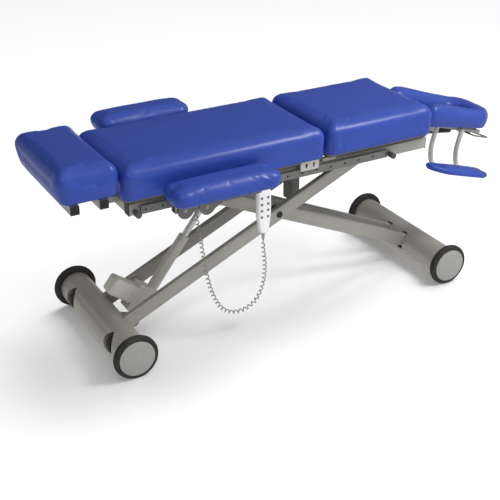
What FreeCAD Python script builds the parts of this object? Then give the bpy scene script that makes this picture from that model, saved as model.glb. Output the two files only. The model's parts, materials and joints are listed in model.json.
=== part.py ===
import FreeCAD, Part
import math
import os

import Sketcher
from FreeCAD import Placement, Rotation, Vector

# Chiropractic table on an electric X lift: padded foot, middle, thoracic and head
# sections, swinging armrests and a handset on a curly cord.
# X runs towards the head end, Y to the rear, Z up. The origin is on the floor, in the
# middle of the table's length and width. Every size is in millimetres or degrees.

SIZES = {
    # lift
    "lift_middle_x": -85.0,
    "half_span": 775.0,
    "lift_angle": 24.18,
    "lift_angle_low": 12.0,
    "lift_angle_high": 29.0,
    "upper_pivot_x": 474.0,
    "arm_height": 60.0,
    "arm_width": 28.0,
    "arm_wall": 3.0,
    "arm_boss": 34.0,
    "arm_edge": 4.0,
    "outer_arm_y": 105.0,
    "inner_arm_y": 58.5,
    "hub_radius": 24.0,
    "pivot_radius": 12.0,
    "cap_radius": 14.0,
    "cap_thickness": 3.5,
    "running_gap": 0.1,
    "seat_gap": 0.3,
    "cut_overrun": 2.0,
    # cross tubes on the floor
    "tube_radius": 70.0,
    "tube_wall": 4.0,
    "tube_half_length": 311.5,
    "slot_spare": 3.0,
    "tyre_radius": 94.0,
    "tyre_width": 28.0,
    "tyre_face_y": 340.0,
    "tyre_bore": 58.0,
    "tyre_edge": 9.0,
    "tyre_groove": 3.0,
    "dome_radius": 75.0,
    "dome_bulge": 12.0,
    "dome_lip": 3.0,
    "bulkhead_thickness": 5.0,
    "axle_radius": 15.0,
    "axle_half_length": 141.0,
    "head_axle_radius": 10.0,
    "head_bulkhead_y": 290.0,
    "wheel_y": 204.0,
    "wheel_radius": 38.0,
    "wheel_width": 34.0,
    "wheel_offset": 34.0,
    "wheel_edge": 5.0,
    "spindle_radius": 6.0,
    "spindle_half_length": 44.0,
    "eye_half_width": 40.0,
    "eye_half_height": 60.0,
    "eye_depth": 91.0,
    # actuator
    "motor_pivot_in": 125.6,
    "motor_pivot_z": 55.1,
    "yoke_along": 267.8,
    "yoke_offset": 81.5,
    "yoke_plate": 6.0,
    "yoke_foot": 45.0,
    "yoke_pin_radius": 8.0,
    "eye_radius": 16.0,
    "eye_width": 24.0,
    "gearbox_start": 40.0,
    "gearbox_end": 157.0,
    "gearbox_low": -28.0,
    "gearbox_high": 52.0,
    "gearbox_depth": 70.0,
    "gearbox_edge": 9.0,
    "motor_axis_along": 108.0,
    "motor_radius": 29.0,
    "motor_top": 190.0,
    "motor_edge": 8.0,
    "motor_band": 3.0,
    "motor_band_top": 86.5,
    "outer_tube_radius": 23.0,
    "outer_tube_wall": 3.0,
    "outer_tube_end": 421.0,
    "outer_tube_bush": 20.0,
    "rod_radius": 14.0,
    "rod_start": 305.0,
    "piston_length": 15.0,
    "bracket_plate": 6.0,
    "bracket_slack": 14.0,
    "bracket_rim": 4.0,
    "bracket_gap": 1.5,
    # bed frame
    "frame_bottom": 638.0,
    "frame_height": 50.0,
    "frame_width": 40.0,
    "frame_y": 185.0,
    "frame_wall": 3.0,
    "frame_edge": 4.0,
    "frame_left": -717.0,
    "frame_right": 687.0,
    "plug_flange": 3.0,
    "plug_depth": 18.0,
    "cross_height": 36.0,
    "cross_lift": 2.0,
    "cross_width": 40.0,
    "cross_x_foot": -697.0,
    "cross_x_slide": -620.0,
    "cross_x_middle": -150.0,
    "cross_x_box": 130.0,
    "cross_x_head": 667.0,
    "riser_width": 26.0,
    "riser_left": -700.0,
    "riser_right": 135.0,
    "rest_length": 40.0,
    "rest_near": 220.0,
    "rest_far": 640.0,
    "pivot_boss_radius": 20.0,
    "pivot_boss_width": 15.0,
    "roller_radius": 16.0,
    "roller_width": 20.0,
    "roller_shaft_radius": 10.0,
    "track_wall": 4.0,
    "track_left": -578.0,
    "track_right": -408.0,
    "rail_bottom": 647.0,
    "rail_height": 33.0,
    "rail_thickness": 10.0,
    "rail_face_y": 225.0,
    "rail_left": -677.0,
    "rail_right": 470.0,
    "rail_hole_radius": 5.0,
    "rail_hole_first": -658.0,
    "rail_hole_pitch": 70.0,
    "rail_spacer_radius": 8.0,
    "rail_spacer_first": -623.0,
    "rail_spacer_pitch": 350.0,
    "knob_radius": 13.0,
    "knob_neck": 9.0,
    "knob_neck_length": 17.0,
    "knob_length": 45.0,
    "knob_left": -696.0,
    "knob_right": 488.0,
    "knob_edge": 3.0,
    "box_left": 111.0,
    "box_right": 150.0,
    "box_half_width": 39.0,
    "box_bottom": 440.0,
    "box_edge": 6.0,
    "box_groove": 2.5,
    "box_groove_height": 14.0,
    "box_groove_z": 520.0,
    "hinge_plate_left": 30.0,
    "hinge_plate_right": 117.0,
    "hinge_plate_bottom": 673.0,
    "hinge_plate_top": 717.0,
    "hinge_plate_thickness": 5.0,
    "hinge_plate_corner": 8.0,
    "keyhole_left": 58.0,
    "keyhole_right": 94.0,
    "keyhole_z": 697.0,
    "keyhole_radius": 6.0,
    "keyhole_slot": 3.5,
    "keyhole_drop": 14.0,
    # boards and cushions of the bed
    "board_thickness": 18.0,
    "board_half_width": 225.0,
    "board_bottom": 703.0,
    "board_corner": 20.0,
    "cushion_half_width": 250.0,
    "cushion_thickness": 122.0,
    "cushion_corner": 30.0,
    "cushion_crown": 6.0,
    "cushion_tuck": 5.0,
    "cushion_round": 26.0,
    "cushion_crown_inset": 110.0,
    "board_margin": 14.0,
    "board_end_margin": 7.0,
    "middle_left": -752.0,
    "middle_right": 145.0,
    "thoracic_left": 159.0,
    "thoracic_right": 689.0,
    "thoracic_pivot_x": 152.0,
    "thoracic_pivot_z": 695.5,
    "thoracic_pin_radius": 4.0,
    "thoracic_bar_width": 10.0,
    "thoracic_bar_y": 209.0,
    "thoracic_bar_length": 60.0,
    "thoracic_nose_radius": 6.0,
    "thoracic_post_half": 8.0,
    "foot_left": -1003.0,
    "foot_right": -762.0,
    "foot_board_bottom": 749.0,
    "foot_cushion_thickness": 115.0,
    "foot_cross_left": -944.0,
    "foot_cross_right": -829.5,
    "foot_cross_size": 35.0,
    "foot_cross_half": 242.0,
    "foot_slide_height": 24.0,
    "foot_slide_width": 35.0,
    "foot_slide_y": 115.0,
    "foot_slide_right": -480.0,
    "foot_tube_wall": 2.5,
    # head section, in its own tilted frame: along, across, up
    "head_x": 783.0,
    "head_z": 798.0,
    "head_tilt": 16.5,
    "head_thickness": 79.0,
    "head_near": -33.0,
    "head_far": 403.0,
    "head_near_half": 176.0,
    "head_shoulder": 330.0,
    "head_shoulder_half": 136.0,
    "head_far_half": 67.0,
    "head_corner": 33.0,
    "head_shoulder_corner": 66.0,
    "head_crown": 12.0,
    "head_crown_inset": 34.0,
    "head_slot_half": 66.0,
    "head_slot_end": 300.0,
    "head_slot_corner": 60.0,
    "head_slot_mouth": 18.0,
    "head_board_thickness": 12.0,
    "head_hinge_x": 712.0,
    "head_hinge_z": 728.0,
    "head_bar_size": 25.0,
    "head_bar_y": 102.0,
    "head_bar_right": 340.0,
    "head_cross_left": 316.0,
    "head_cross_thickness": 9.0,
    "head_lug_y": 144.0,
    "head_lug_thickness": 7.0,
    "head_lug_radius": 14.0,
    "head_lug_length": 50.0,
    "head_tie_length": 37.5,
    "head_pin_radius": 6.0,
    "hinge_bracket_thickness": 8.0,
    "gas_low_x": 704.0,
    "gas_low_z": 641.0,
    "gas_high_along": 330.0,
    "gas_high_down": 120.0,
    "gas_radius": 15.0,
    "gas_wall": 3.0,
    "gas_length": 294.0,
    "gas_guide": 12.0,
    "gas_neck": 5.0,
    "gas_neck_length": 17.0,
    "gas_shoulder": 22.0,
    "gas_bottom": 27.0,
    "gas_boss_radius": 9.0,
    "gas_rod_radius": 5.0,
    "gas_rod_start": 204.0,
    "gas_eye_radius": 10.0,
    "gas_eye_width": 12.0,
    "gas_pin_radius": 4.0,
    "gas_lug": 4.0,
    "gas_slack": 10.0,
    "forearm_tube_radius": 11.0,
    "forearm_tube_y": 130.0,
    "forearm_tube_near": 48.0,
    "forearm_tube_far": 214.0,
    "forearm_tube_straight": 215.0,
    "forearm_tube_bend": 44.0,
    "forearm_pad_left": -5.0,
    "forearm_pad_right": 330.0,
    "forearm_pad_inner": 175.0,
    "forearm_pad_outer": 285.0,
    "forearm_pad_top": 245.0,
    "forearm_pad_thickness": 28.0,
    "forearm_pad_corner": 50.0,
    "forearm_pad_round": 11.0,
    "forearm_pad_tuck": 1.0,
    "forearm_pad_crown": 2.0,
    "forearm_pad_crown_inset": 30.0,
    "lever_wire": 3.5,
    "lever_down": 122.0,
    "lever_barrel_along": 345.0,
    "lever_barrel_y": 33.0,
    "lever_barrel_radius": 7.0,
    "lever_barrel_width": 24.0,
    "lever_pin_radius": 3.0,
    "lever_ear": 3.0,
    "lever_bend": 9.0,
    "lever_nose_along": 378.0,
    "lever_nose_y": 16.0,
    "lever_far_along": 420.0,
    "lever_near_along": 332.0,
    "lever_loop_y": 100.0,
    "lever_back_along": 311.0,
    "lever_back_y": 50.0,
    # armrests
    "carriage_left": -562.0,
    "carriage_right": -400.0,
    "carriage_bottom": 644.0,
    "carriage_size": 34.0,
    "carriage_y": 265.0,
    "carriage_wall": 3.0,
    "clamp_left": -540.0,
    "clamp_right": -420.0,
    "clamp_lip": 4.0,
    "clamp_hook": 5.2,
    "clamp_hook_depth": 6.0,
    "rear_carriage_shift": 22.0,
    "link_pivot_left": -520.0,
    "link_pivot_right": -431.0,
    "link_pivot_z": 650.0,
    "link_length": 120.0,
    "link_angle_front": 22.0,
    "link_angle_rear": 77.0,
    "link_disc": 33.0,
    "link_web": 26.4,
    "link_end": 15.0,
    "link_thickness": 7.0,
    "link_pin_radius": 8.0,
    "link_top_pin_radius": 6.0,
    "link_shoulder": 13.0,
    "pad_bracket_thickness": 6.0,
    "pad_flange": 5.0,
    "pad_flange_spare": 70.0,
    "pad_flange_inner": 276.0,
    "pad_flange_outer": 396.0,
    "armrest_left": 206.0,
    "armrest_right": 259.0,
    "armrest_left_rear": 160.0,
    "armrest_inner": 262.0,
    "armrest_width": 150.0,
    "armrest_above_pivot": 20.0,
    "armrest_thickness": 68.0,
    "armrest_corner": 45.0,
    "armrest_round": 26.0,
    "armrest_crown": 4.0,
    "armrest_crown_inset": 52.0,
    # handset and its cord
    "handset_x": -152.0,
    "handset_top": 639.0,
    "handset_height": 190.0,
    "handset_width": 64.0,
    "handset_foot_width": 48.0,
    "handset_thickness": 27.0,
    "handset_corner": 14.0,
    "handset_edge": 5.0,
    "key_size": 10.0,
    "key_height": 1.2,
    "key_recess": 1.5,
    "key_first_down": 30.0,
    "key_pitch": 28.0,
    "key_spread": 14.5,
    "hook_thickness": 3.2,
    "hook_width": 30.0,
    "hook_back_drop": 14.0,
    "hook_front_drop": 110.0,
    "relief_top_radius": 9.0,
    "relief_end_radius": 5.0,
    "relief_length": 32.0,
    "gland_radius": 11.0,
    "gland_length": 20.0,
    "cord_wire": 2.5,
    "cord_coil": 6.25,
}

KEY_ROWS = 4
RAIL_HOLES = 17
RAIL_SPACERS = 4
CORD_CURLS = 46
CORD_SIDES = 4
TURN_STEPS = 2
FINE_STEPS = 8

# Points that the curly cord's middle line passes, before the lift's own middle is added
CORD_ROUTE = [
    (-152, -242.5, 417),
    (-152, -242.5, 372),
    (-145, -243, 326),
    (-142, -241, 279),
    (-144, -238, 236),
    (-151, -235, 193),
    (-166, -232, 152),
    (-192, -230, 119),
    (-229, -227, 100),
    (-269, -224, 95),
    (-307, -221, 105),
    (-338, -218, 132),
    (-360, -216, 170),
    (-376, -213, 210),
    (-387, -210, 253),
    (-397, -207, 299),
    (-404, -204, 346),
    (-409, -201, 392),
    (-414, -198, 443),
    (-420, -195, 495),
    (-427, -192, 543),
    (-433, -190, 582),
    (-433, -190, 618),
]
CORD_BEND_SHARE = 0.45

# Shares that shape the soft forms
TUCK_SHARE = 0.35
FULL_SHARE = 0.4
HEAD_FULL_SHARE = 0.3
CROWN_LIMIT_SHARE = 0.36
SHOULDER_SHARE = 0.3
LEAST_CORNER_SHARE = 0.25
ROUND_ANGLES = (28, 50, 70, 86)

# Cosine over which two directions count as the same
ALIGNED_SHARE = 0.999

# A sketch point's number on its line or arc
START, END, CENTRE = 1, 2, 3

doc = FreeCAD.newDocument("ChiropracticTable")
sheet = doc.addObject("Spreadsheet::Sheet", "Sizes")
for row, name in enumerate(SIZES, 1):
    sheet.set("A%d" % row, name)
    sheet.set("B%d" % row, str(SIZES[name]))
    sheet.setAlias("B%d" % row, name)
doc.recompute()


class Size:
    """A size with the sheet expression that drives it."""

    def __init__(self, value, text):
        self.value = float(value)
        self.text = text

    def __float__(self):
        return self.value

    def __add__(self, other):
        other = as_size(other)
        return Size(self.value + other.value, "(%s + %s)" % (self.text, other.text))

    def __sub__(self, other):
        other = as_size(other)
        return Size(self.value - other.value, "(%s - %s)" % (self.text, other.text))

    def __mul__(self, other):
        other = as_size(other)
        return Size(self.value * other.value, "(%s * %s)" % (self.text, other.text))

    def __truediv__(self, other):
        other = as_size(other)
        return Size(self.value / other.value, "(%s / %s)" % (self.text, other.text))

    def __radd__(self, other):
        return as_size(other) + self

    def __rsub__(self, other):
        return as_size(other) - self

    def __rmul__(self, other):
        return as_size(other) * self

    def __neg__(self):
        return Size(-self.value, "(0 - %s)" % self.text)

    def sin(self):
        return Size(math.sin(math.radians(self.value)), "sin(%s)" % self.text)

    def cos(self):
        return Size(math.cos(math.radians(self.value)), "cos(%s)" % self.text)


class Sizes:
    """The sheet's sizes by name."""

    def __getattr__(self, name):
        return Size(sheet.get(name), "Sizes." + name)


def as_size(thing):
    if isinstance(thing, Size):
        return thing
    return Size(thing, repr(float(thing)))


d = Sizes()
bodies = []
parts = []


def bind(thing, prop, value):
    thing.setExpression(prop, as_size(value).text)


def keep(thing, label):
    """Give a finished sub-part the name of its file."""
    thing.Label = label
    parts.append(thing)
    return thing


def place(thing, x, y, z, axis=None, angle=0):
    """Stand an object at a place given from the middle of the lift."""
    if axis is not None:
        thing.Placement = Placement(Vector(), Rotation(Vector(*axis), float(as_size(angle))))
        bind(thing, "Placement.Rotation.Angle", angle)
    bind(thing, "Placement.Base.x", d.lift_middle_x + x)
    bind(thing, "Placement.Base.y", y)
    bind(thing, "Placement.Base.z", z)
    return thing


def place_on_head(thing, along, across, up, turned=0):
    """Stand an object in the tilted frame of the head section."""
    cos, sin = d.head_tilt.cos(), d.head_tilt.sin()
    x = d.head_x + along * cos + up * sin
    z = d.head_z - along * sin + up * cos
    return place(thing, x, across, z, (0, 1, 0), d.head_tilt + turned)


def box(x0, x1, y0, y1, z0, z1, put=place):
    thing = doc.addObject("Part::Box", "Box")
    bind(thing, "Length", x1 - x0)
    bind(thing, "Width", y1 - y0)
    bind(thing, "Height", z1 - z0)
    return put(thing, as_size(x0), y0, as_size(z0))


def cylinder_y(radius, x, y0, y1, z):
    """A round bar across the table."""
    thing = doc.addObject("Part::Cylinder", "Bar")
    bind(thing, "Radius", radius)
    bind(thing, "Height", as_size(y1) - y0)
    return place(thing, x, y1, z, (1, 0, 0), 90)


def ring_y(outer, inner, x, y0, y1, z):
    outside = cylinder_y(outer, x, y0, y1, z)
    inside = cylinder_y(inner, x, as_size(y0) - d.cut_overrun, as_size(y1) + d.cut_overrun, z)
    return cut(outside, inside)


def cut(base, tool):
    thing = doc.addObject("Part::Cut", "Cut")
    thing.Base = base
    thing.Tool = tool
    return thing


def fuse(*things):
    thing = doc.addObject("Part::MultiFuse", "Fusion")
    thing.Shapes = list(things)
    thing.Refine = True
    return thing


def group(*things):
    thing = doc.addObject("Part::Compound", "Group")
    thing.Links = list(things)
    return thing


def mirrored(thing):
    """The same piece on the other side of the table."""
    other = doc.addObject("Part::Mirroring", "Mirror")
    other.Source = thing
    other.Normal = (0, 1, 0)
    return other


def both_sides(thing):
    return group(thing, mirrored(thing))


def solid(shape, name="Solid"):
    thing = doc.addObject("Part::Feature", name)
    thing.Shape = shape
    return thing


def new_body(name):
    body = doc.addObject("PartDesign::Body", name)
    bodies.append(body)
    return body


def sketch_on(body, role, offset=None):
    """A sketch on one of the body's own planes, moved along its normal if asked."""
    plane = [item for item in body.Origin.OriginFeatures if item.Role == role][0]
    sketch = body.newObject("Sketcher::SketchObject", "Sketch")
    sketch.AttachmentSupport = [(plane, "")]
    sketch.MapMode = "FlatFace"
    if offset is not None:
        bind(sketch, "AttachmentOffset.Base.z", offset)
    return sketch


def hold(sketch, kind, point, value):
    """Dimension a point from the sketch's origin."""
    value = as_size(value)
    rule = Sketcher.Constraint(kind, -1, START, point[0], point[1], float(value))
    index = sketch.addConstraint(rule)
    sketch.setExpression("Constraints[%d]" % index, value.text)


def outline(sketch, points):
    """A closed outline of straight sides through dimensioned corners."""
    points = [(as_size(x), as_size(y)) for x, y in points]
    first = sketch.GeometryCount
    count = len(points)
    for index, (x, y) in enumerate(points):
        following = points[(index + 1) % count]
        start = Vector(float(x), float(y), 0)
        end = Vector(float(following[0]), float(following[1]), 0)
        sketch.addGeometry(Part.LineSegment(start, end))
    for index in range(count):
        ends = (first + index, END, first + (index + 1) % count, START)
        sketch.addConstraint(Sketcher.Constraint("Coincident", *ends))
    for index, (x, y) in enumerate(points):
        hold(sketch, "DistanceX", (first + index, START), x)
        hold(sketch, "DistanceY", (first + index, START), y)


def rectangle(sketch, x0, x1, y0, y1):
    outline(sketch, [(x0, y0), (x1, y0), (x1, y1), (x0, y1)])


def circle(sketch, x, y, radius):
    x, y, radius = as_size(x), as_size(y), as_size(radius)
    middle = Vector(float(x), float(y), 0)
    index = sketch.addGeometry(Part.Circle(middle, Vector(0, 0, 1), float(radius)))
    rule = sketch.addConstraint(Sketcher.Constraint("Radius", index, float(radius)))
    sketch.setExpression("Constraints[%d]" % rule, radius.text)
    hold(sketch, "DistanceX", (index, CENTRE), x)
    hold(sketch, "DistanceY", (index, CENTRE), y)


def pad(body, sketch, length):
    feature = body.newObject("PartDesign::Pad", "Pad")
    feature.Profile = sketch
    feature.Midplane = True
    bind(feature, "Length", length)
    return feature


def pocket(body, sketch, length=None):
    feature = body.newObject("PartDesign::Pocket", "Pocket")
    feature.Profile = sketch
    feature.Midplane = True
    if length is None:
        feature.Type = "ThroughAll"
    else:
        bind(feature, "Length", length)
    return feature


def pattern(body, feature, sketch, axis, length, count):
    repeat = body.newObject("PartDesign::LinearPattern", "Pattern")
    repeat.Originals = [feature]
    repeat.Direction = (sketch, [axis])
    repeat.Occurrences = count
    bind(repeat, "Length", length)
    body.Tip = repeat
    return repeat


def picked(body, chosen):
    """The body's shape so far, with the names of the edges that the test picks."""
    doc.recompute()
    base = body.Tip
    names = []
    for index, edge in enumerate(base.Shape.Edges, 1):
        if chosen(edge):
            names.append("Edge%d" % index)
    return base, names


def fillet(body, radius, chosen):
    base = picked(body, chosen)
    feature = body.newObject("PartDesign::Fillet", "Fillet")
    feature.Base = base
    bind(feature, "Radius", radius)
    return feature


def chamfer(body, size, chosen):
    base = picked(body, chosen)
    feature = body.newObject("PartDesign::Chamfer", "Chamfer")
    feature.Base = base
    bind(feature, "Size", size)
    return feature


def revolve(body, sketch):
    feature = body.newObject("PartDesign::Revolution", "Revolution")
    feature.Profile = sketch
    feature.ReferenceAxis = (sketch, ["V_Axis"])
    feature.Angle = 360
    return feature


def along_axis(edge, axis):
    """True for a straight edge along one axis."""
    if edge.Curve.TypeId != "Part::GeomLine":
        return False
    return abs(edge.Curve.Direction.dot(Vector(*axis))) > ALIGNED_SHARE


def in_plane(edge, axis, value):
    box_of = edge.BoundBox
    low = (box_of.XMin, box_of.YMin, box_of.ZMin)[axis]
    high = (box_of.XMax, box_of.YMax, box_of.ZMax)[axis]
    value = float(value)
    near = abs(value) / 10000 + float(d.running_gap) / 10
    return abs(abs(low) - value) < near and abs(high - low) < near


# Outlines of lines and tangent arcs, and soft forms lofted through them


def rounded_outline(points, inset, height):
    """A closed wire through corners (x, y, radius), each side moved inwards by an inset."""
    count = len(points)
    moved = []
    radii = []
    for index in range(count):
        before = Vector(points[index - 1][0], points[index - 1][1], 0)
        here = Vector(points[index][0], points[index][1], 0)
        after = Vector(points[(index + 1) % count][0], points[(index + 1) % count][1], 0)
        first = (here - before).normalize()
        second = (after - here).normalize()
        normal_a = Vector(-first.y, first.x, 0)
        normal_b = Vector(-second.y, second.x, 0)
        scale = inset / (1 + normal_a.dot(normal_b))
        moved.append(here + (normal_a + normal_b) * scale)
        radius = points[index][2]
        if first.cross(second).z > 0:
            radii.append(max(radius - inset, radius * LEAST_CORNER_SHARE))
        else:
            radii.append(radius + inset)
    edges = []
    ends = []
    for index in range(count):
        before, here, after = moved[index - 1], moved[index], moved[(index + 1) % count]
        first = (here - before).normalize()
        second = (after - here).normalize()
        turn = first.getAngle(second)
        reach = radii[index] * math.tan(turn / 2)
        start = here - first * reach
        end = here + second * reach
        inner = (second - first).normalize()
        bulge = radii[index] * (1 / math.cos(turn / 2) - 1)
        ends.append((start, here + inner * bulge, end))
    for index in range(count):
        start, middle, end = ends[index]
        edges.append(Part.Arc(start, middle, end).toShape())
        edges.append(Part.LineSegment(end, ends[(index + 1) % count][0]).toShape())
    wire = Part.Wire(edges)
    wire.translate(Vector(0, 0, height))
    return wire


def soft_form(points, bottom, top, tuck, rounding, crown, crown_inset):
    """A cushion: drawn in at its foot, full at the side, rounded over and crowned."""
    edge_top = top - crown
    levels = [
        (tuck, bottom),
        (tuck * TUCK_SHARE, bottom + (edge_top - bottom) * FULL_SHARE / 2),
        (0, bottom + (edge_top - bottom) * FULL_SHARE),
        (0, edge_top - rounding),
    ]
    for angle in ROUND_ANGLES:
        inset = rounding * (1 - math.cos(math.radians(angle)))
        rise = rounding * math.sin(math.radians(angle))
        levels.append((inset, edge_top - rounding + rise))
    levels.append((crown_inset, top))
    wires = [rounded_outline(points, inset, height) for inset, height in levels]
    return Part.makeLoft(wires, True, True)


def rectangle_points(x0, x1, y0, y1, corner):
    corner = float(corner)
    x0, x1, y0, y1 = float(x0), float(x1), float(y0), float(y1)
    return [(x0, y0, corner), (x1, y0, corner), (x1, y1, corner), (x0, y1, corner)]


def bed_cushion(left, right, bottom, top):
    points = rectangle_points(left, right, -d.cushion_half_width, d.cushion_half_width, d.cushion_corner)
    crown_inset = min(float(d.cushion_crown_inset), float(right - left) * CROWN_LIMIT_SHARE)
    shape = soft_form(points, float(bottom), float(top), float(d.cushion_tuck), float(d.cushion_round),
                      float(d.cushion_crown), crown_inset)
    return place(solid(shape, "Cushion"), 0, 0, 0)


def board(left, right, half_width, bottom, thickness):
    """A plywood board with rounded corners."""
    body = new_body("Board")
    sketch = sketch_on(body, "XY_Plane")
    rectangle(sketch, left, right, -half_width, half_width)
    pad(body, sketch, thickness)
    fillet(body, d.board_corner, lambda edge: along_axis(edge, (0, 0, 1)))
    return place(body, 0, 0, bottom + thickness / 2)


def bent_path(points, radii):
    """Straight runs through points, joined by tangent arcs of the given radii."""
    edges = []
    start = points[0]
    for index in range(1, len(points) - 1):
        here = points[index]
        first = (here - points[index - 1]).normalize()
        second = (points[index + 1] - here).normalize()
        turn = first.getAngle(second)
        radius = radii[index - 1]
        reach = radius * math.tan(turn / 2)
        enter = here - first * reach
        leave = here + second * reach
        inner = (second - first).normalize()
        middle = here + inner * (radius * (1 / math.cos(turn / 2) - 1))
        edges.append(Part.LineSegment(start, enter).toShape())
        edges.append(Part.Arc(enter, middle, leave).toShape())
        start = leave
    edges.append(Part.LineSegment(start, points[-1]).toShape())
    return edges


def swept(edges, radius):
    """A round bar along a path: a cylinder on each straight run, a torus piece on each arc."""
    pieces = []
    for edge in edges:
        start = edge.valueAt(edge.FirstParameter)
        heading = edge.tangentAt(edge.FirstParameter)
        if edge.Curve.TypeId == "Part::GeomLine":
            pieces.append(Part.makeCylinder(radius, edge.Length, start, heading))
            continue
        disc = Part.Face(Part.Wire([Part.Circle(start, heading, radius).toShape()]))
        centre = edge.Curve.Center
        axis = (start - centre).cross(heading)
        angle = math.degrees(edge.Length / edge.Curve.Radius)
        pieces.append(disc.revolve(centre, axis, angle))
    return pieces[0].fuse(pieces[1:]).removeSplitter()


# The two cross tubes on the floor


def cross_tube(side):
    """Round tube with arm slots, bulkheads and, at the foot end, eye-shaped cut-outs."""
    body = new_body("CrossTube")
    ring = sketch_on(body, "XZ_Plane")
    circle(ring, 0, 0, d.tube_radius)
    circle(ring, 0, 0, d.tube_radius - d.tube_wall)
    pad(body, ring, d.tube_half_length * 2)
    if side < 0:
        arm_y, plates = d.outer_arm_y, foot_plates()
    else:
        arm_y, plates = d.inner_arm_y, [(d.head_bulkhead_y, d.head_axle_radius, 0)]
    half = float(d.arm_height / 2 + d.slot_spare)
    spread = math.degrees(math.asin(half / float(d.tube_radius)))
    low = float(d.lift_angle_low) - spread
    high = float(d.lift_angle_high) + spread
    reach = d.tube_radius * 2
    corners = [(0, 0)]
    for angle in (low, (low + high) / 2, high):
        turn = as_size(angle)
        corners.append((reach * turn.cos() * -side, reach * turn.sin()))
    for way in (1, -1):
        window = sketch_on(body, "XZ_Plane", arm_y * way)
        outline(window, corners)
        pocket(body, window, d.arm_width + d.slot_spare * 2)
    if side < 0:
        for way in (1, -1):
            eye = sketch_on(body, "YZ_Plane", -d.tube_radius)
            eye_outline(eye, d.wheel_y * way)
            pocket(body, eye, d.eye_depth)
    for y, bore, offset in plates:
        for way in (1, -1):
            disc = sketch_on(body, "XZ_Plane", y * way)
            circle(disc, 0, 0, d.tube_radius - d.tube_wall / 2)
            circle(disc, -offset, 0, bore + d.running_gap)
            pad(body, disc, d.bulkhead_thickness)
    return place(body, d.half_span * side, 0, d.tyre_radius)


def foot_plates():
    """Inner plates of the foot tube: place, bore and how far the bore lies off the middle."""
    return [
        (d.axle_half_length - d.bulkhead_thickness, d.axle_radius, as_size(0)),
        (d.wheel_y - d.spindle_half_length + d.bulkhead_thickness, d.spindle_radius, d.wheel_offset),
        (d.wheel_y + d.spindle_half_length - d.bulkhead_thickness, d.spindle_radius, d.wheel_offset),
    ]


def eye_outline(sketch, y):
    """A leaf of two arcs that meet in points above and below."""
    wide, high = float(d.eye_half_width), float(d.eye_half_height)
    middle = float(y)
    top, low = Vector(middle, high, 0), Vector(middle, -high, 0)
    right = sketch.addGeometry(Part.Arc(low, Vector(middle + wide, 0, 0), top))
    left = sketch.addGeometry(Part.Arc(top, Vector(middle - wide, 0, 0), low))
    radius = (d.eye_half_height * d.eye_half_height + d.eye_half_width * d.eye_half_width) / 2
    radius = radius / d.eye_half_width
    sketch.addConstraint(Sketcher.Constraint("Coincident", right, END, left, START))
    sketch.addConstraint(Sketcher.Constraint("Coincident", left, END, right, START))
    for index in (right, left):
        rule = sketch.addConstraint(Sketcher.Constraint("Radius", index, float(radius)))
        sketch.setExpression("Constraints[%d]" % rule, radius.text)
    hold(sketch, "DistanceX", (right, START), y)
    hold(sketch, "DistanceY", (right, START), -d.eye_half_height)
    hold(sketch, "DistanceX", (right, END), y)
    hold(sketch, "DistanceY", (right, END), d.eye_half_height)


def tyre(side):
    """Rubber ring with rounded shoulders and one groove round its tread."""
    body = new_body("Tyre")
    profile = sketch_on(body, "XY_Plane")
    near, far = d.tyre_face_y - d.tyre_width, d.tyre_face_y
    middle = (near + far) / 2
    tread, groove = d.tyre_radius, d.tyre_groove
    slope, step = d.tyre_edge, d.tyre_edge * SHOULDER_SHARE
    outline(profile, [
        (d.tyre_bore, near),
        (tread - slope, near),
        (tread - step, near + step),
        (tread, near + slope),
        (tread, middle - groove),
        (tread - groove, middle),
        (tread, middle + groove),
        (tread, far - slope),
        (tread - step, far - step),
        (tread - slope, far),
        (d.tyre_bore, far),
    ])
    revolve(body, profile)
    return both_sides(place(body, d.half_span * side, 0, d.tyre_radius))


def end_cap(side):
    """Silver dome with the hub that fills the tyre; the head end's takes the axle."""
    inner = d.tyre_face_y - d.tyre_width
    face, tip = d.tyre_face_y, d.tyre_face_y + d.dome_bulge
    rise = d.dome_bulge - d.dome_lip
    ball = (d.dome_radius * d.dome_radius + rise * rise) / 2 / rise
    hub = d.tyre_bore - d.seat_gap
    corners = [(hub, inner), (hub, face), (d.dome_radius, face), (d.dome_radius, face + d.dome_lip)]
    if side > 0:
        bore = d.head_axle_radius + d.running_gap
        corners = [(0, tip), (0, face), (bore, face), (bore, inner)] + corners
    else:
        corners = [(0, tip), (0, inner)] + corners
    body = new_body("Cap")
    profile = sketch_on(body, "XY_Plane")
    points = [(as_size(x), as_size(y)) for x, y in corners]
    for index in range(len(points) - 1):
        (x0, y0), (x1, y1) = points[index], points[index + 1]
        line = Part.LineSegment(Vector(float(x0), float(y0), 0), Vector(float(x1), float(y1), 0))
        profile.addGeometry(line)
        hold(profile, "DistanceX", (index, START), x0)
        hold(profile, "DistanceY", (index, START), y0)
        if index:
            profile.addConstraint(Sketcher.Constraint("Coincident", index - 1, END, index, START))
    middle = Vector(0, float(tip - ball), 0)
    lean = math.asin(float(d.dome_lip + face - tip + ball) / float(ball))
    circle_of = Part.Circle(middle, Vector(0, 0, 1), float(ball))
    arc = profile.addGeometry(Part.ArcOfCircle(circle_of, lean, math.pi / 2))
    last = len(points) - 2
    profile.addConstraint(Sketcher.Constraint("Coincident", last, END, arc, START))
    profile.addConstraint(Sketcher.Constraint("Coincident", arc, END, 0, START))
    hold(profile, "DistanceX", (arc, START), points[-1][0])
    hold(profile, "DistanceY", (arc, START), points[-1][1])
    rule = profile.addConstraint(Sketcher.Constraint("Radius", arc, float(ball)))
    profile.setExpression("Constraints[%d]" % rule, ball.text)
    revolve(body, profile)
    return both_sides(place(body, d.half_span * side, 0, d.tyre_radius))


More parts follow.
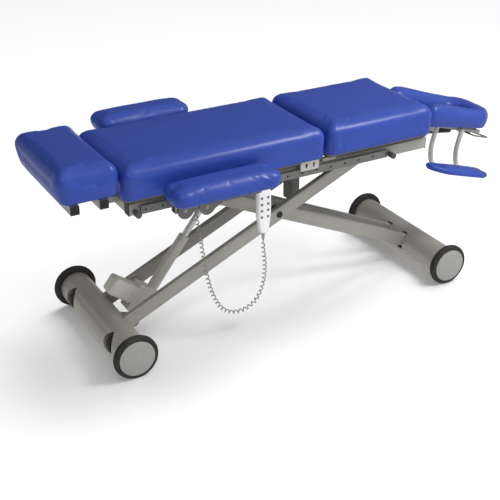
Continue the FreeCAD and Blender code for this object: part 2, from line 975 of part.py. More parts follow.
def base_pins():
    """The foot axle and the two spindles of the transport wheels."""
    z = d.tyre_radius
    axle = cylinder_y(d.axle_radius, -d.half_span, -d.axle_half_length, d.axle_half_length, z)
    x = -d.half_span - d.wheel_offset
    near, far = d.wheel_y - d.spindle_half_length, d.wheel_y + d.spindle_half_length
    spindle = cylinder_y(d.spindle_radius, x, near, far, z)
    return group(axle, spindle, mirrored(spindle))


def transport_wheels():
    body = new_body("Wheel")
    profile = sketch_on(body, "XY_Plane")
    bore = d.spindle_radius + d.running_gap
    near, far = d.wheel_y - d.wheel_width / 2, d.wheel_y + d.wheel_width / 2
    edge = d.wheel_edge
    outline(profile, [
        (bore, near),
        (d.wheel_radius - edge, near),
        (d.wheel_radius, near + edge),
        (d.wheel_radius, far - edge),
        (d.wheel_radius - edge, far),
        (bore, far),
    ])
    revolve(body, profile)
    return both_sides(place(body, -d.half_span - d.wheel_offset, 0, d.tyre_radius))


def actuator_bracket():
    """Two plates from the foot tube to the motor's pivot, with room round its pin."""
    hole = d.yoke_pin_radius + d.bracket_slack
    rim = hole + d.bracket_rim
    run = d.motor_pivot_in
    drop = d.motor_pivot_z - d.tyre_radius
    body = new_body("BracketPlate")
    web = sketch_on(body, "XZ_Plane")
    outline(web, [(0, -rim + drop), (run, -rim + drop), (run, rim + drop), (0, rim)])
    pad(body, web, d.bracket_plate)
    end = sketch_on(body, "XZ_Plane")
    circle(end, run, drop, rim)
    pad(body, end, d.bracket_plate)
    bore = sketch_on(body, "XZ_Plane")
    circle(bore, run, drop, hole)
    pocket(body, bore)
    tube = sketch_on(body, "XZ_Plane")
    circle(tube, 0, 0, d.tube_radius)
    pocket(body, tube)
    plate_y = d.eye_width / 2 + d.bracket_gap + d.bracket_plate / 2
    return both_sides(place(body, -d.half_span, plate_y, d.tyre_radius))


# The X lift


def half_arm():
    return d.half_span / d.lift_angle.cos()


def upper_arm():
    return d.upper_pivot_x / d.lift_angle.cos()


def crossing_z():
    return d.tyre_radius + half_arm() * d.lift_angle.sin()


def pivot_z():
    return crossing_z() + upper_arm() * d.lift_angle.sin()


def lift_arm(low_bore, high_bore):
    """Box-section arm, solid round its three pivots and hollow between them."""
    body = new_body("Arm")
    long = half_arm() + upper_arm()
    half = d.arm_height / 2
    flat = sketch_on(body, "XZ_Plane")
    rectangle(flat, 0, long, -half, half)
    pad(body, flat, d.arm_width)
    for x in (as_size(0), long):
        end = sketch_on(body, "XZ_Plane")
        circle(end, x, 0, half)
        pad(body, end, d.arm_width)
    chamfer(body, d.arm_edge, lambda edge: in_plane(edge, 1, d.arm_width / 2))
    inside = sketch_on(body, "XZ_Plane")
    hollow = half - d.arm_wall
    rectangle(inside, d.arm_boss, half_arm() - d.arm_boss, -hollow, hollow)
    rectangle(inside, half_arm() + d.arm_boss, long - d.arm_boss, -hollow, hollow)
    pocket(body, inside, d.arm_width - d.arm_wall * 2)
    bores = sketch_on(body, "XZ_Plane")
    circle(bores, 0, 0, low_bore + d.running_gap)
    circle(bores, half_arm(), 0, d.pivot_radius + d.running_gap)
    circle(bores, long, 0, high_bore + d.running_gap)
    pocket(body, bores)
    return body


def outer_arms():
    arm = lift_arm(d.axle_radius, d.pivot_radius)
    place(arm, -d.half_span, d.outer_arm_y, d.tyre_radius, (0, 1, 0), -d.lift_angle)
    inner_face = d.outer_arm_y - d.arm_width / 2
    hub = ring_y(d.hub_radius, d.axle_radius + d.running_gap, -d.half_span, -inner_face, inner_face,
                 d.tyre_radius)
    return fuse(arm, mirrored(arm), hub)


def inner_arms():
    arm = lift_arm(d.head_axle_radius, d.roller_shaft_radius)
    place(arm, d.half_span, d.inner_arm_y, d.tyre_radius, (0, 1, 0), d.lift_angle - 180)
    inner_face = d.inner_arm_y - d.arm_width / 2
    hub = ring_y(d.hub_radius, d.head_axle_radius + d.running_gap, d.half_span, -inner_face, inner_face,
                 d.tyre_radius)
    return fuse(arm, mirrored(arm), hub)


def lift_pins():
    """Upper pivot shaft and the two crossing pins with their spacers and caps."""
    frame_face = d.frame_y - d.frame_width / 2 - d.seat_gap
    shaft = cylinder_y(d.pivot_radius, d.upper_pivot_x, -frame_face, frame_face, pivot_z())
    outer_out = d.outer_arm_y + d.arm_width / 2
    outer_in = d.outer_arm_y - d.arm_width / 2
    inner_out = d.inner_arm_y + d.arm_width / 2
    inner_in = d.inner_arm_y - d.arm_width / 2
    pin = cylinder_y(d.pivot_radius, 0, inner_in, outer_out, crossing_z())
    cap = cylinder_y(d.cap_radius, 0, outer_out, outer_out + d.cap_thickness, crossing_z())
    bolt = fuse(pin, cap)
    washer = ring_y(d.hub_radius, d.pivot_radius + d.running_gap, 0, inner_out + d.seat_gap,
                    outer_in - d.seat_gap, crossing_z())
    return group(shaft, bolt, mirrored(bolt), washer, mirrored(washer))


def yoke_place():
    """Where the actuator's rod meets the inner arms."""
    cos, sin = d.lift_angle.cos(), d.lift_angle.sin()
    x = -(d.yoke_along * cos) + d.yoke_offset * sin
    z = crossing_z() + d.yoke_along * sin + d.yoke_offset * cos
    return x, z


def actuator_yoke():
    """Two ears on the inner arms with the pin that takes the actuator's rod."""
    x, z = yoke_place()
    ear = new_body("Ear")
    plan = sketch_on(ear, "XZ_Plane")
    half = d.arm_height / 2 - d.arm_edge
    foot = d.yoke_offset + half
    outline(plan, [
        (-d.yoke_foot, -foot),
        (d.yoke_foot, -foot),
        (d.eye_radius, 0),
        (-d.eye_radius, 0),
    ])
    pad(ear, plan, d.yoke_plate)
    top = sketch_on(ear, "XZ_Plane")
    circle(top, 0, 0, d.eye_radius)
    pad(ear, top, d.yoke_plate)
    inner_face = d.inner_arm_y - d.arm_width / 2
    place(ear, x, inner_face - d.yoke_plate / 2, z, (0, 1, 0), d.lift_angle)
    pin = cylinder_y(d.yoke_pin_radius, x, -inner_face, inner_face, z)
    return fuse(ear, mirrored(ear), pin)


def roller_shaft():
    reach = d.frame_y - d.frame_width / 2 - d.track_wall - d.seat_gap
    return cylinder_y(d.roller_shaft_radius, -d.upper_pivot_x, -reach, reach, pivot_z())


def track_rollers():
    outer = d.frame_y - d.frame_width / 2 - d.track_wall - d.seat_gap
    bore = d.roller_shaft_radius + d.running_gap
    wheel = ring_y(d.roller_radius, bore, -d.upper_pivot_x, outer - d.roller_width, outer, pivot_z())
    return both_sides(wheel)


# The actuator: along its own axis, from the motor's pivot to the yoke


def motor_pivot_x():
    return d.motor_pivot_in - d.half_span


def actuator_angle():
    """Slope and length of the line from the motor's pivot to the yoke."""
    x, z = yoke_place()
    run = float(x - motor_pivot_x())
    rise = float(z - d.motor_pivot_z)
    return math.degrees(math.atan2(rise, run)), math.hypot(run, rise)


def on_actuator(thing):
    """Lay a piece modelled along X from the motor's pivot on the actuator's axis."""
    angle = actuator_angle()[0]
    thing.Placement = Placement(Vector(), Rotation(Vector(0, 1, 0), -angle))
    bind(thing, "Placement.Base.x", d.lift_middle_x + motor_pivot_x())
    bind(thing, "Placement.Base.z", d.motor_pivot_z)
    return thing


def revolved_along_x(name, corners):
    """A turned piece: its outline gives places along X and radii."""
    body = new_body(name)
    profile = sketch_on(body, "XY_Plane")
    outline(profile, corners)
    turned = body.newObject("PartDesign::Revolution", "Revolution")
    turned.Profile = profile
    turned.ReferenceAxis = (profile, ["H_Axis"])
    turned.Angle = 360
    return body


def actuator_rod():
    long = as_size(actuator_angle()[1])
    piston = d.outer_tube_radius - d.outer_tube_wall - d.seat_gap
    body = revolved_along_x("Rod", [
        (d.rod_start, 0),
        (d.rod_start, piston),
        (d.rod_start + d.piston_length, piston),
        (d.rod_start + d.piston_length, d.rod_radius),
        (long, d.rod_radius),
        (long, 0),
    ])
    eye = sketch_on(body, "XZ_Plane")
    circle(eye, long, 0, d.eye_radius)
    pad(body, eye, d.eye_width)
    bore = sketch_on(body, "XZ_Plane")
    circle(bore, long, 0, d.yoke_pin_radius + d.running_gap)
    pocket(body, bore)
    return on_actuator(body)


def actuator_tube():
    inside = d.outer_tube_radius - d.outer_tube_wall
    bush = d.outer_tube_end - d.outer_tube_bush
    body = revolved_along_x("OuterTube", [
        (d.gearbox_end, inside),
        (d.gearbox_end, d.outer_tube_radius),
        (d.outer_tube_end, d.outer_tube_radius),
        (d.outer_tube_end, d.rod_radius + d.seat_gap),
        (bush, d.rod_radius + d.seat_gap),
        (bush, inside),
    ])
    return on_actuator(body)


def motor_housing():
    """Gearbox block with the motor's barrel square to it and a pivot lug below."""
    body = new_body("Motor")
    block = sketch_on(body, "XZ_Plane")
    slope = d.gearbox_edge * 2
    outline(block, [
        (d.gearbox_start, d.gearbox_low + slope),
        (d.gearbox_start + slope, d.gearbox_low),
        (d.gearbox_end, d.gearbox_low),
        (d.gearbox_end, d.gearbox_high - slope),
        (d.gearbox_end - slope, d.gearbox_high),
        (d.gearbox_start + slope, d.gearbox_high),
        (d.gearbox_start, d.gearbox_high - slope),
    ])
    pad(body, block, d.gearbox_depth)
    fillet(body, d.gearbox_edge, lambda edge: in_plane(edge, 1, d.gearbox_depth / 2))
    lug = sketch_on(body, "XZ_Plane")
    rectangle(lug, 0, d.gearbox_start + d.gearbox_edge, -d.eye_radius, d.eye_radius)
    pad(body, lug, d.eye_width)
    nose = sketch_on(body, "XZ_Plane")
    circle(nose, 0, 0, d.eye_radius)
    pad(body, nose, d.eye_width)
    barrel = revolved_barrel()
    pin_reach = d.eye_width / 2 + d.bracket_gap + d.bracket_plate
    pin = doc.addObject("Part::Cylinder", "Pin")
    bind(pin, "Radius", d.yoke_pin_radius)
    bind(pin, "Height", pin_reach * 2)
    pin.Placement = Placement(Vector(), Rotation(Vector(1, 0, 0), 90))
    bind(pin, "Placement.Base.y", pin_reach)
    return on_actuator(fuse(body, barrel, pin))


def revolved_barrel():
    """The motor's round can, standing on the gearbox, with a raised band and a rounded end."""
    body = new_body("Barrel")
    profile = sketch_on(body, "XZ_Plane")
    start = d.gearbox_high - d.gearbox_edge
    band = d.motor_band_top
    outline(profile, [
        (0, start),
        (d.motor_radius + d.motor_band, start),
        (d.motor_radius + d.motor_band, band),
        (d.motor_radius, band + d.motor_band),
        (d.motor_radius, d.motor_top - d.motor_edge),
        (d.motor_radius - d.motor_edge, d.motor_top),
        (0, d.motor_top),
    ])
    revolve(body, profile)
    bind(body, "Placement.Base.x", d.motor_axis_along)
    return body


# The bed frame


def box_tube_y(x, z0, width, height, half_length, wall):
    """A box-section tube across the table."""
    outside = box(x - width / 2, x + width / 2, -half_length, half_length, z0, z0 + height)
    longer = half_length + d.cut_overrun
    inside = box(x - width / 2 + wall, x + width / 2 - wall, -longer, longer, z0 + wall, z0 + height - wall)
    return cut(outside, inside)


def frame_tubes():
    body = new_body("FrameTube")
    section = sketch_on(body, "YZ_Plane")
    wide, high = d.frame_width / 2, d.frame_height / 2
    rectangle(section, -wide, wide, -high, high)
    pad(body, section, d.frame_right - d.frame_left)
    fillet(body, d.frame_edge, lambda edge: along_axis(edge, (1, 0, 0)))
    hollow = sketch_on(body, "YZ_Plane")
    wall = d.frame_wall
    rectangle(hollow, wall - wide, wide - wall, wall - high, high - wall)
    pocket(body, hollow)
    place(body, (d.frame_left + d.frame_right) / 2, -d.frame_y, d.frame_bottom + high)
    return both_sides(body)


def frame_plugs():
    plugs = []
    wide, high = d.frame_width / 2, d.frame_height / 2
    middle = d.frame_bottom + high
    slim = d.frame_wall + d.seat_gap
    for x, way in ((d.frame_left, -1), (d.frame_right, 1)):
        outer = x + d.plug_flange * way
        inner = x - d.plug_depth * way
        ends = (outer, x) if way < 0 else (x, outer)
        flange = box(ends[0], ends[1], -d.frame_y - wide, -d.frame_y + wide, middle - high, middle + high)
        ends = (x, inner) if way < 0 else (inner, x)
        spigot = box(ends[0], ends[1], slim - d.frame_y - wide, wide - slim - d.frame_y,
                     middle - high + slim, middle + high - slim)
        plug = fuse(flange, spigot)
        plugs += [plug, mirrored(plug)]
    return group(*plugs)


def cross_top():
    return d.frame_bottom + d.cross_lift + d.cross_height


def frame_top():
    return d.frame_bottom + d.frame_height


def frame_cross_members():
    """Cross tubes between the long tubes, with the strips and rests that carry the boards."""
    inner = d.frame_y - d.frame_width / 2
    members = []
    for x in (d.cross_x_foot, d.cross_x_slide, d.cross_x_middle, d.cross_x_box, d.cross_x_head):
        members.append(box_tube_y(x, d.frame_bottom + d.cross_lift, d.cross_width, d.cross_height,
                                  inner, d.frame_wall))
    near, far = d.frame_y - d.riser_width / 2, d.frame_y + d.riser_width / 2
    strip = box(d.riser_left, d.riser_right, near, far, frame_top(), d.board_bottom)
    members += [strip, mirrored(strip)]
    for x in (d.rest_near, d.rest_far):
        half = d.rest_length / 2
        rest = box(x - half, x + half, near, far, frame_top(), d.board_bottom - d.seat_gap)
        members += [rest, mirrored(rest)]
    return group(*members)


def roller_track():
    body = new_body("Track")
    section = sketch_on(body, "YZ_Plane")
    room = d.roller_radius + d.seat_gap
    outer = room + d.track_wall
    face = d.frame_y - d.frame_width / 2
    edge = face - d.track_wall - d.roller_width - d.seat_gap * 2
    outline(section, [
        (edge, -outer), (face, -outer), (face, outer), (edge, outer),
        (edge, room), (face - d.track_wall, room), (face - d.track_wall, -room), (edge, -room),
    ])
    pad(body, section, d.track_right - d.track_left)
    return place(body, (d.track_left + d.track_right) / 2, 0, pivot_z())


def frame_brackets():
    """Roller tracks, pivot bosses, head hinge plates, gas spring ears and thoracic pivots."""
    face = d.frame_y - d.frame_width / 2
    track = roller_track()
    boss = ring_y(d.pivot_boss_radius, d.pivot_radius + d.running_gap, d.upper_pivot_x,
                  face - d.pivot_boss_width, face, pivot_z())
    hinge = head_hinge_plate()
    ear_in = d.gas_eye_width / 2 + d.seat_gap
    ear_out = ear_in + d.gas_lug
    low, high = d.gas_low_z - d.gas_eye_radius, d.gas_low_z + d.gas_eye_radius
    ear = box(d.frame_right, d.gas_low_x + d.gas_eye_radius, ear_in, ear_out, low, high)
    other = box(d.frame_right, d.gas_low_x + d.gas_eye_radius, -ear_out, -ear_in, low, high)
    pin = cylinder_y(d.gas_pin_radius, d.gas_low_x, -ear_out, ear_out, d.gas_low_z)
    gas_ears = fuse(ear, other, pin)
    bar_in = d.thoracic_bar_y - d.thoracic_bar_width / 2
    pivot_in = bar_in - d.seat_gap - d.bracket_plate
    half = d.thoracic_post_half
    post = box(d.thoracic_pivot_x - half, d.thoracic_pivot_x + half, pivot_in, bar_in - d.seat_gap,
               frame_top(), d.board_bottom - d.seat_gap)
    pivot = cylinder_y(d.thoracic_pin_radius, d.thoracic_pivot_x, pivot_in,
                       d.thoracic_bar_y + d.thoracic_bar_width / 2, d.thoracic_pivot_z)
    stud = fuse(post, pivot)
    things = []
    for thing in (track, boss, hinge, stud):
        things += [thing, mirrored(thing)]
    return group(gas_ears, *things)


def head_hinge_plate():
    """Cranked plate from the head cross tube up to the head section's hinge."""
    body = new_body("HingePlate")
    plan = sketch_on(body, "XZ_Plane")
    low = d.frame_bottom + d.cross_lift
    left = d.frame_right
    clear = d.thoracic_right + d.plug_flange
    right = d.head_hinge_x + d.head_lug_radius
    outline(plan, [
        (left, low),
        (clear + d.head_lug_radius, low),
        (right, d.head_hinge_z - d.head_lug_radius * 2),
        (right, d.head_hinge_z),
        (d.head_hinge_x - d.head_lug_radius, d.head_hinge_z),
        (clear, d.head_hinge_z - d.head_lug_radius),
        (clear, cross_top()),
        (left, cross_top()),
    ])
    pad(body, plan, d.hinge_bracket_thickness)
    end = sketch_on(body, "XZ_Plane")
    circle(end, d.head_hinge_x, d.head_hinge_z, d.head_lug_radius)
    pad(body, end, d.hinge_bracket_thickness)
    outer = d.head_lug_y - d.head_lug_thickness / 2 - d.seat_gap
    place(body, 0, outer - d.hinge_bracket_thickness / 2, 0)
    reach = d.head_lug_y + d.head_lug_thickness / 2
    pin = cylinder_y(d.head_pin_radius, d.head_hinge_x, outer - d.hinge_bracket_thickness, reach,
                     d.head_hinge_z)
    return fuse(body, pin)


def accessory_rails():
    """Flat rail with a row of holes, on spacers off the frame tube."""
    body = new_body("Rail")
    face = sketch_on(body, "XZ_Plane")
    half = (d.rail_right - d.rail_left) / 2
    high = d.rail_height / 2
    rectangle(face, -half, half, -high, high)
    pad(body, face, d.rail_thickness)
    middle = (d.rail_left + d.rail_right) / 2
    hole = sketch_on(body, "XZ_Plane")
    circle(hole, d.rail_hole_first - middle, 0, d.rail_hole_radius)
    bore = pocket(body, hole)
    pattern(body, bore, hole, "H_Axis", d.rail_hole_pitch * (RAIL_HOLES - 1), RAIL_HOLES)
    middle_z = d.rail_bottom + high
    place(body, middle, -d.rail_face_y + d.rail_thickness / 2, middle_z)
    pieces = [body]
    back = d.rail_face_y - d.rail_thickness
    for index in range(RAIL_SPACERS):
        x = d.rail_spacer_first + d.rail_spacer_pitch * index
        pieces.append(cylinder_y(d.rail_spacer_radius, x, -back, d.frame_width / -2 - d.frame_y, middle_z))
    return both_sides(fuse(*pieces))


def rail_knobs():
    knobs = []
    body = new_body("Knob")
    profile = sketch_on(body, "XY_Plane")
    outline(profile, [
        (0, 0),
        (d.knob_neck, 0),
        (d.knob_neck, d.knob_neck_length),
        (d.knob_radius, d.knob_neck_length),
        (d.knob_radius, d.knob_length - d.knob_edge),
        (d.knob_radius - d.knob_edge, d.knob_length),
        (0, d.knob_length),
    ])
    revolve(body, profile)
    z = d.rail_bottom + d.rail_height / 2 - d.rail_spacer_radius
    place(body, d.knob_left, d.frame_y + d.frame_width / 2, z)
    other = doc.addObject("Part::Mirroring", "Mirror")
    other.Source = body
    other.Normal = (1, 0, 0)
    bind(other, "Base.x", d.lift_middle_x + (d.knob_left + d.knob_right) / 2)
    for thing in (body, other):
        knobs += [thing, mirrored(thing)]
    return group(*knobs)


def control_box():
    """Slim housing under the frame with a slanted groove round its lower half."""
    body = new_body("ControlBox")
    plan = sketch_on(body, "XY_Plane")
    half = (d.box_right - d.box_left) / 2
    rectangle(plan, -half, half, -d.box_half_width, d.box_half_width)
    top = d.frame_bottom + d.cross_lift
    tall = top - d.box_bottom
    pad(body, plan, tall)
    fillet(body, d.box_edge, lambda edge: along_axis(edge, (0, 0, 1)) or edge.BoundBox.ZMax < 0)
    groove = sketch_on(body, "XZ_Plane")
    low = d.box_groove_z - (top + d.box_bottom) / 2
    outline(groove, [
        (-half - d.cut_overrun, low),
        (d.box_groove - half, low),
        (d.box_groove - half, low + d.box_groove_height),
        (-half - d.cut_overrun, low + d.box_groove_height),
    ])
    pocket(body, groove)
    return place(body, (d.box_left + d.box_right) / 2, 0, (top + d.box_bottom) / 2)


def hinge_plates():
    """Plate with two keyholes on the edge of the middle board."""
    body = new_body("KeyholePlate")
    face = sketch_on(body, "XZ_Plane")
    rectangle(face, d.hinge_plate_left, d.hinge_plate_right, d.hinge_plate_bottom, d.hinge_plate_top)
    pad(body, face, d.hinge_plate_thickness)
    fillet(body, d.hinge_plate_corner, lambda edge: along_axis(edge, (0, 1, 0)))
    for x in (d.keyhole_left, d.keyhole_right):
        eye = sketch_on(body, "XZ_Plane")
        circle(eye, x, d.keyhole_z, d.keyhole_radius)
        pocket(body, eye)
        slot = sketch_on(body, "XZ_Plane")
        rectangle(slot, x - d.keyhole_slot, x + d.keyhole_slot, d.keyhole_z - d.keyhole_drop, d.keyhole_z)
        pocket(body, slot)
    y = d.board_half_width + d.seat_gap + d.hinge_plate_thickness / 2
    return both_sides(place(body, 0, -y, 0))


# Foot and thoracic sections


def foot_frame():
    """Two slides under the middle section with two cross tubes that carry the board."""
    bottom = cross_top() + d.seat_gap
    half = d.foot_slide_width / 2
    left = d.foot_cross_left - d.foot_cross_size / 2
    wall = d.foot_tube_wall
    outside = box(left, d.foot_slide_right, d.foot_slide_y - half, d.foot_slide_y + half,
                  bottom, bottom + d.foot_slide_height)
    inside = box(left - d.cut_overrun, d.foot_slide_right + d.cut_overrun, d.foot_slide_y - half + wall,
                 d.foot_slide_y + half - wall, bottom + wall, bottom + d.foot_slide_height - wall)
    slide = cut(outside, inside)
    cross_bottom = d.foot_board_bottom - d.foot_cross_size
    pieces = [slide, mirrored(slide)]
    for x in (d.foot_cross_left, d.foot_cross_right):
        side = d.foot_cross_size / 2
        block = box(x - side, x + side, d.foot_slide_y - half, d.foot_slide_y + half,
                    bottom + d.foot_slide_height, cross_bottom)
        pieces += [block, mirrored(block)]
        pieces.append(box_tube_y(x, cross_bottom, d.foot_cross_size, d.foot_cross_size,
                                 d.foot_cross_half, wall))
    return fuse(*pieces)


def foot_plugs():
    plugs = []
    for x in (d.foot_cross_left, d.foot_cross_right):
        side = d.foot_cross_size / 2
        slim = side - d.foot_tube_wall - d.seat_gap
        middle = d.foot_board_bottom - side
        flange = box(x - side, x + side, d.foot_cross_half, d.foot_cross_half + d.plug_flange,
                     middle - side, middle + side)
        spigot = box(x - slim, x + slim, d.foot_cross_half - d.plug_depth, d.foot_cross_half,
                     middle - slim, middle + slim)
        plug = fuse(flange, spigot)
        plugs += [plug, mirrored(plug)]
    return group(*plugs)


def thoracic_hinge_arms():
    """Bars under the thoracic board that reach back to its pivots."""
    half = d.thoracic_bar_width / 2
    pin = d.thoracic_pin_radius
    x, z = d.thoracic_pivot_x, d.thoracic_pivot_z
    reach = d.board_bottom - z
    bar = box(d.thoracic_left, x + d.thoracic_bar_length, d.thoracic_bar_y - half, d.thoracic_bar_y + half,
              z - reach + d.seat_gap, d.board_bottom)
    nose = cylinder_y(d.thoracic_nose_radius, x, d.thoracic_bar_y - half, d.thoracic_bar_y + half, z)
    link = box(x, d.thoracic_left, d.thoracic_bar_y - half, d.thoracic_bar_y + half, z - pin, z + pin)
    bore = cylinder_y(pin + d.running_gap, x, d.thoracic_bar_y - half - d.cut_overrun,
                      d.thoracic_bar_y + half + d.cut_overrun, z)
    return both_sides(cut(fuse(bar, nose, link), bore))


# The head section


def head_outline():
    """Plan of the head pad: tapered, with a face opening from its near edge."""
    near, far = float(d.head_near), float(d.head_far)
    wide, shoulder = float(d.head_near_half), float(d.head_shoulder_half)
    tip = float(d.head_far_half)
    slot, end = float(d.head_slot_half), float(d.head_slot_end)
    mouth, corner = float(d.head_slot_mouth), float(d.head_corner)
    half = [
        (near, -wide, corner),
        (float(d.head_shoulder), -shoulder, float(d.head_shoulder_corner)),
        (far, -tip, corner),
    ]
    inner = [(near, slot + mouth, mouth), (end, slot, float(d.head_slot_corner))]
    points = list(half)
    points += [(x, -y, r) for x, y, r in reversed(half)]
    points += inner
    points += [(x, -y, r) for x, y, r in reversed(inner)]
    return points


def head_cushion():
    points = head_outline()
    thickness = float(d.head_thickness)
    levels = [
        (float(d.cushion_tuck), -thickness),
        (0, -thickness * (1 - HEAD_FULL_SHARE)),
        (0, -float(d.cushion_round)),
    ]
    for angle in ROUND_ANGLES:
        inset = float(d.cushion_round) * (1 - math.cos(math.radians(angle)))
        drop = float(d.cushion_round) * (1 - math.sin(math.radians(angle)))
        levels.append((inset, -drop))
    levels.append((float(d.head_crown_inset), float(d.head_crown)))
    wires = [rounded_outline(points, inset, height) for inset, height in levels]
    return place_on_head(solid(Part.makeLoft(wires, True, True), "HeadCushion"), 0, 0, 0)


def head_board():
    """Board under the head pad, of the same plan, drawn in a little."""
    wire = rounded_outline(head_outline(), float(d.board_margin), 0)
    face = Part.Face(wire)
    shape = face.extrude(Vector(0, 0, float(d.head_board_thickness)))
    return place_on_head(solid(shape, "HeadBoard"), 0, 0, -d.head_thickness - d.head_board_thickness)


def board_under():
    return -d.head_thickness - d.head_board_thickness


def hinge_on_head():
    """The head hinge in the head section's own frame."""
    cos, sin = d.head_tilt.cos(), d.head_tilt.sin()
    run, rise = d.head_hinge_x - d.head_x, d.head_hinge_z - d.head_z
    return run * cos - rise * sin, run * sin + rise * cos


def head_rails():
    """Side bars under the head board with hinge lugs, a cross bar and the gas spring's ears."""
    top = board_under()
    half = d.head_bar_size / 2
    along, up = hinge_on_head()
    left = d.head_near + d.board_margin
    pieces = []
    lug_body = new_body("HeadLug")
    plan = sketch_on(lug_body, "XZ_Plane")
    outline(plan, [
        (along, up - d.head_lug_radius),
        (left + d.head_lug_length, top - d.head_bar_size),
        (left + d.head_lug_length, top),
        (left, top),
        (left, up),
        (along, up),
    ])
    pad(lug_body, plan, d.head_lug_thickness)
    nose = sketch_on(lug_body, "XZ_Plane")
    circle(nose, along, up, d.head_lug_radius)
    pad(lug_body, nose, d.head_lug_thickness)
    bore = sketch_on(lug_body, "XZ_Plane")
    circle(bore, along, up, d.head_pin_radius + d.running_gap)
    pocket(lug_body, bore)
    place_on_head(lug_body, 0, d.head_lug_y, 0)
    pieces += [lug_body, mirrored(lug_body)]
    tie = box(left + half, left + d.head_tie_length, d.head_bar_y, d.head_lug_y, top - d.head_bar_size,
              top, place_on_head)
    bar = box(left, d.head_bar_right, d.head_bar_y - half, d.head_bar_y + half, top - d.head_bar_size,
              top, place_on_head)
    pieces += [tie, mirrored(tie), bar, mirrored(bar)]
    cross = box(d.head_cross_left, d.head_bar_right, -d.head_bar_y, d.head_bar_y,
                top - d.head_cross_thickness, top, place_on_head)
    pieces.append(cross)
    hole = d.gas_pin_radius + d.gas_slack
    rim = hole + d.gas_lug
    ear = new_body("GasEar")
    face = sketch_on(ear, "XZ_Plane")
    rectangle(face, d.head_cross_left, d.gas_high_along + rim, -d.gas_high_down, top)
    pad(ear, face, d.gas_lug)
    low = sketch_on(ear, "XZ_Plane")
    circle(low, d.gas_high_along, -d.gas_high_down, rim)
    pad(ear, low, d.gas_lug)
    eye = sketch_on(ear, "XZ_Plane")
    circle(eye, d.gas_high_along, -d.gas_high_down, hole)
    pocket(ear, eye)
    ear_y = d.gas_eye_width / 2 + d.seat_gap + d.gas_lug / 2
    place_on_head(ear, 0, ear_y, 0)
    pieces += [ear, mirrored(ear)]
    floor = box(d.head_cross_left, d.gas_high_along + rim, -ear_y, ear_y,
                top - d.gas_lug, top, place_on_head)
    pieces.append(floor)
    pieces.append(lever_bracket())
    return fuse(*pieces)


def lever_bracket():
    """Two ears with the pin that the head handle turns on."""
    half = d.lever_barrel_width / 2 + d.seat_gap
    ear = d.lever_ear
    wide = d.lever_barrel_radius
    top = board_under()
    x, y = d.lever_barrel_along, -d.lever_barrel_y
    low = -d.lever_down - wide
    first = box(x - wide, x + wide, y - half - ear, y - half, low, top, place_on_head)
    second = box(x - wide, x + wide, y + half, y + half + ear, low, top, place_on_head)
    across = doc.addObject("Part::Cylinder", "LeverPin")
    bind(across, "Radius", d.lever_pin_radius)
    bind(across, "Height", half * 2 + ear * 2)
    across.Placement = Placement(Vector(), Rotation(Vector(1, 0, 0), 90))
    cos, sin = d.head_tilt.cos(), d.head_tilt.sin()
    bind(across, "Placement.Base.x", d.lift_middle_x + d.head_x + x * cos - d.lever_down * sin)
    bind(across, "Placement.Base.y", y + half + ear)
    bind(across, "Placement.Base.z", d.head_z - x * sin - d.lever_down * cos)
    plate = box(x - wide, x + wide, y - half - ear, d.gas_eye_width / 2, top - ear, top, place_on_head)
    return fuse(first, second, across, plate)


def head_lever():
    """Release handle: a bent wire loop on a short barrel."""
    down = -float(d.lever_down)
    start = Vector(float(d.lever_barrel_along), -float(d.lever_barrel_y), down)
    corners = [
        (d.lever_nose_along, -d.lever_nose_y),
        (d.lever_far_along, -d.lever_loop_y),
        (d.lever_near_along, -d.lever_loop_y),
        (d.lever_back_along, -d.lever_back_y),
    ]
    points = [start] + [Vector(float(x), float(y), down) for x, y in corners] + [start]
    edges = bent_path(points, [float(d.lever_bend)] * len(corners))
    wire = swept(edges, float(d.lever_wire))
    half = float(d.lever_barrel_width) / 2
    base = Vector(start.x, start.y - half, start.z)
    barrel = Part.makeCylinder(float(d.lever_barrel_radius), half * 2, base, Vector(0, 1, 0))
    bore = Part.makeCylinder(float(d.lever_pin_radius + d.running_gap), half * 2, base, Vector(0, 1, 0))
    return place_on_head(solid(wire.fuse(barrel).cut(bore), "Lever"), 0, 0, 0)


def forearm_tubes():
    """Bent tubes that carry the forearm pads beside and below the head pad."""
    tubes = []
    bend = float(d.forearm_tube_bend)
    y0 = float(d.forearm_tube_y)
    low = -float(d.forearm_tube_straight) - bend
    for along in (d.forearm_tube_near, d.forearm_tube_far):
        x = float(along)
        points = [
            Vector(x, -y0, float(board_under())),
            Vector(x, -y0, low),
            Vector(x, -float(d.forearm_pad_inner - d.seat_gap), low),
        ]
        edges = bent_path(points, [bend])
        bar = swept(edges, float(d.forearm_tube_radius))
        tubes.append(place_on_head(solid(bar, "ForearmTube"), 0, 0, 0))
    return group(*(tubes + [mirrored(tube) for tube in tubes]))


def forearm_pads():
    points = rectangle_points(d.forearm_pad_left, d.forearm_pad_right, -d.forearm_pad_outer,
                              -d.forearm_pad_inner, d.forearm_pad_corner)
    top = -float(d.forearm_pad_top)
    shape = soft_form(points, top - float(d.forearm_pad_thickness), top, float(d.forearm_pad_tuck),
                      float(d.forearm_pad_round), float(d.forearm_pad_crown),
                      float(d.forearm_pad_crown_inset))
    return both_sides(place_on_head(solid(shape, "ForearmPad"), 0, 0, 0))


def gas_line():
    """Angle and length of the gas spring at rest."""
    cos, sin = d.head_tilt.cos(), d.head_tilt.sin()
    x = d.head_x + d.gas_high_along * cos - d.gas_high_down * sin
    z = d.head_z - d.gas_high_along * sin - d.gas_high_down * cos
    run, rise = float(x - d.gas_low_x), float(z - d.gas_low_z)
    return math.degrees(math.atan2(rise, run)), math.hypot(run, rise)


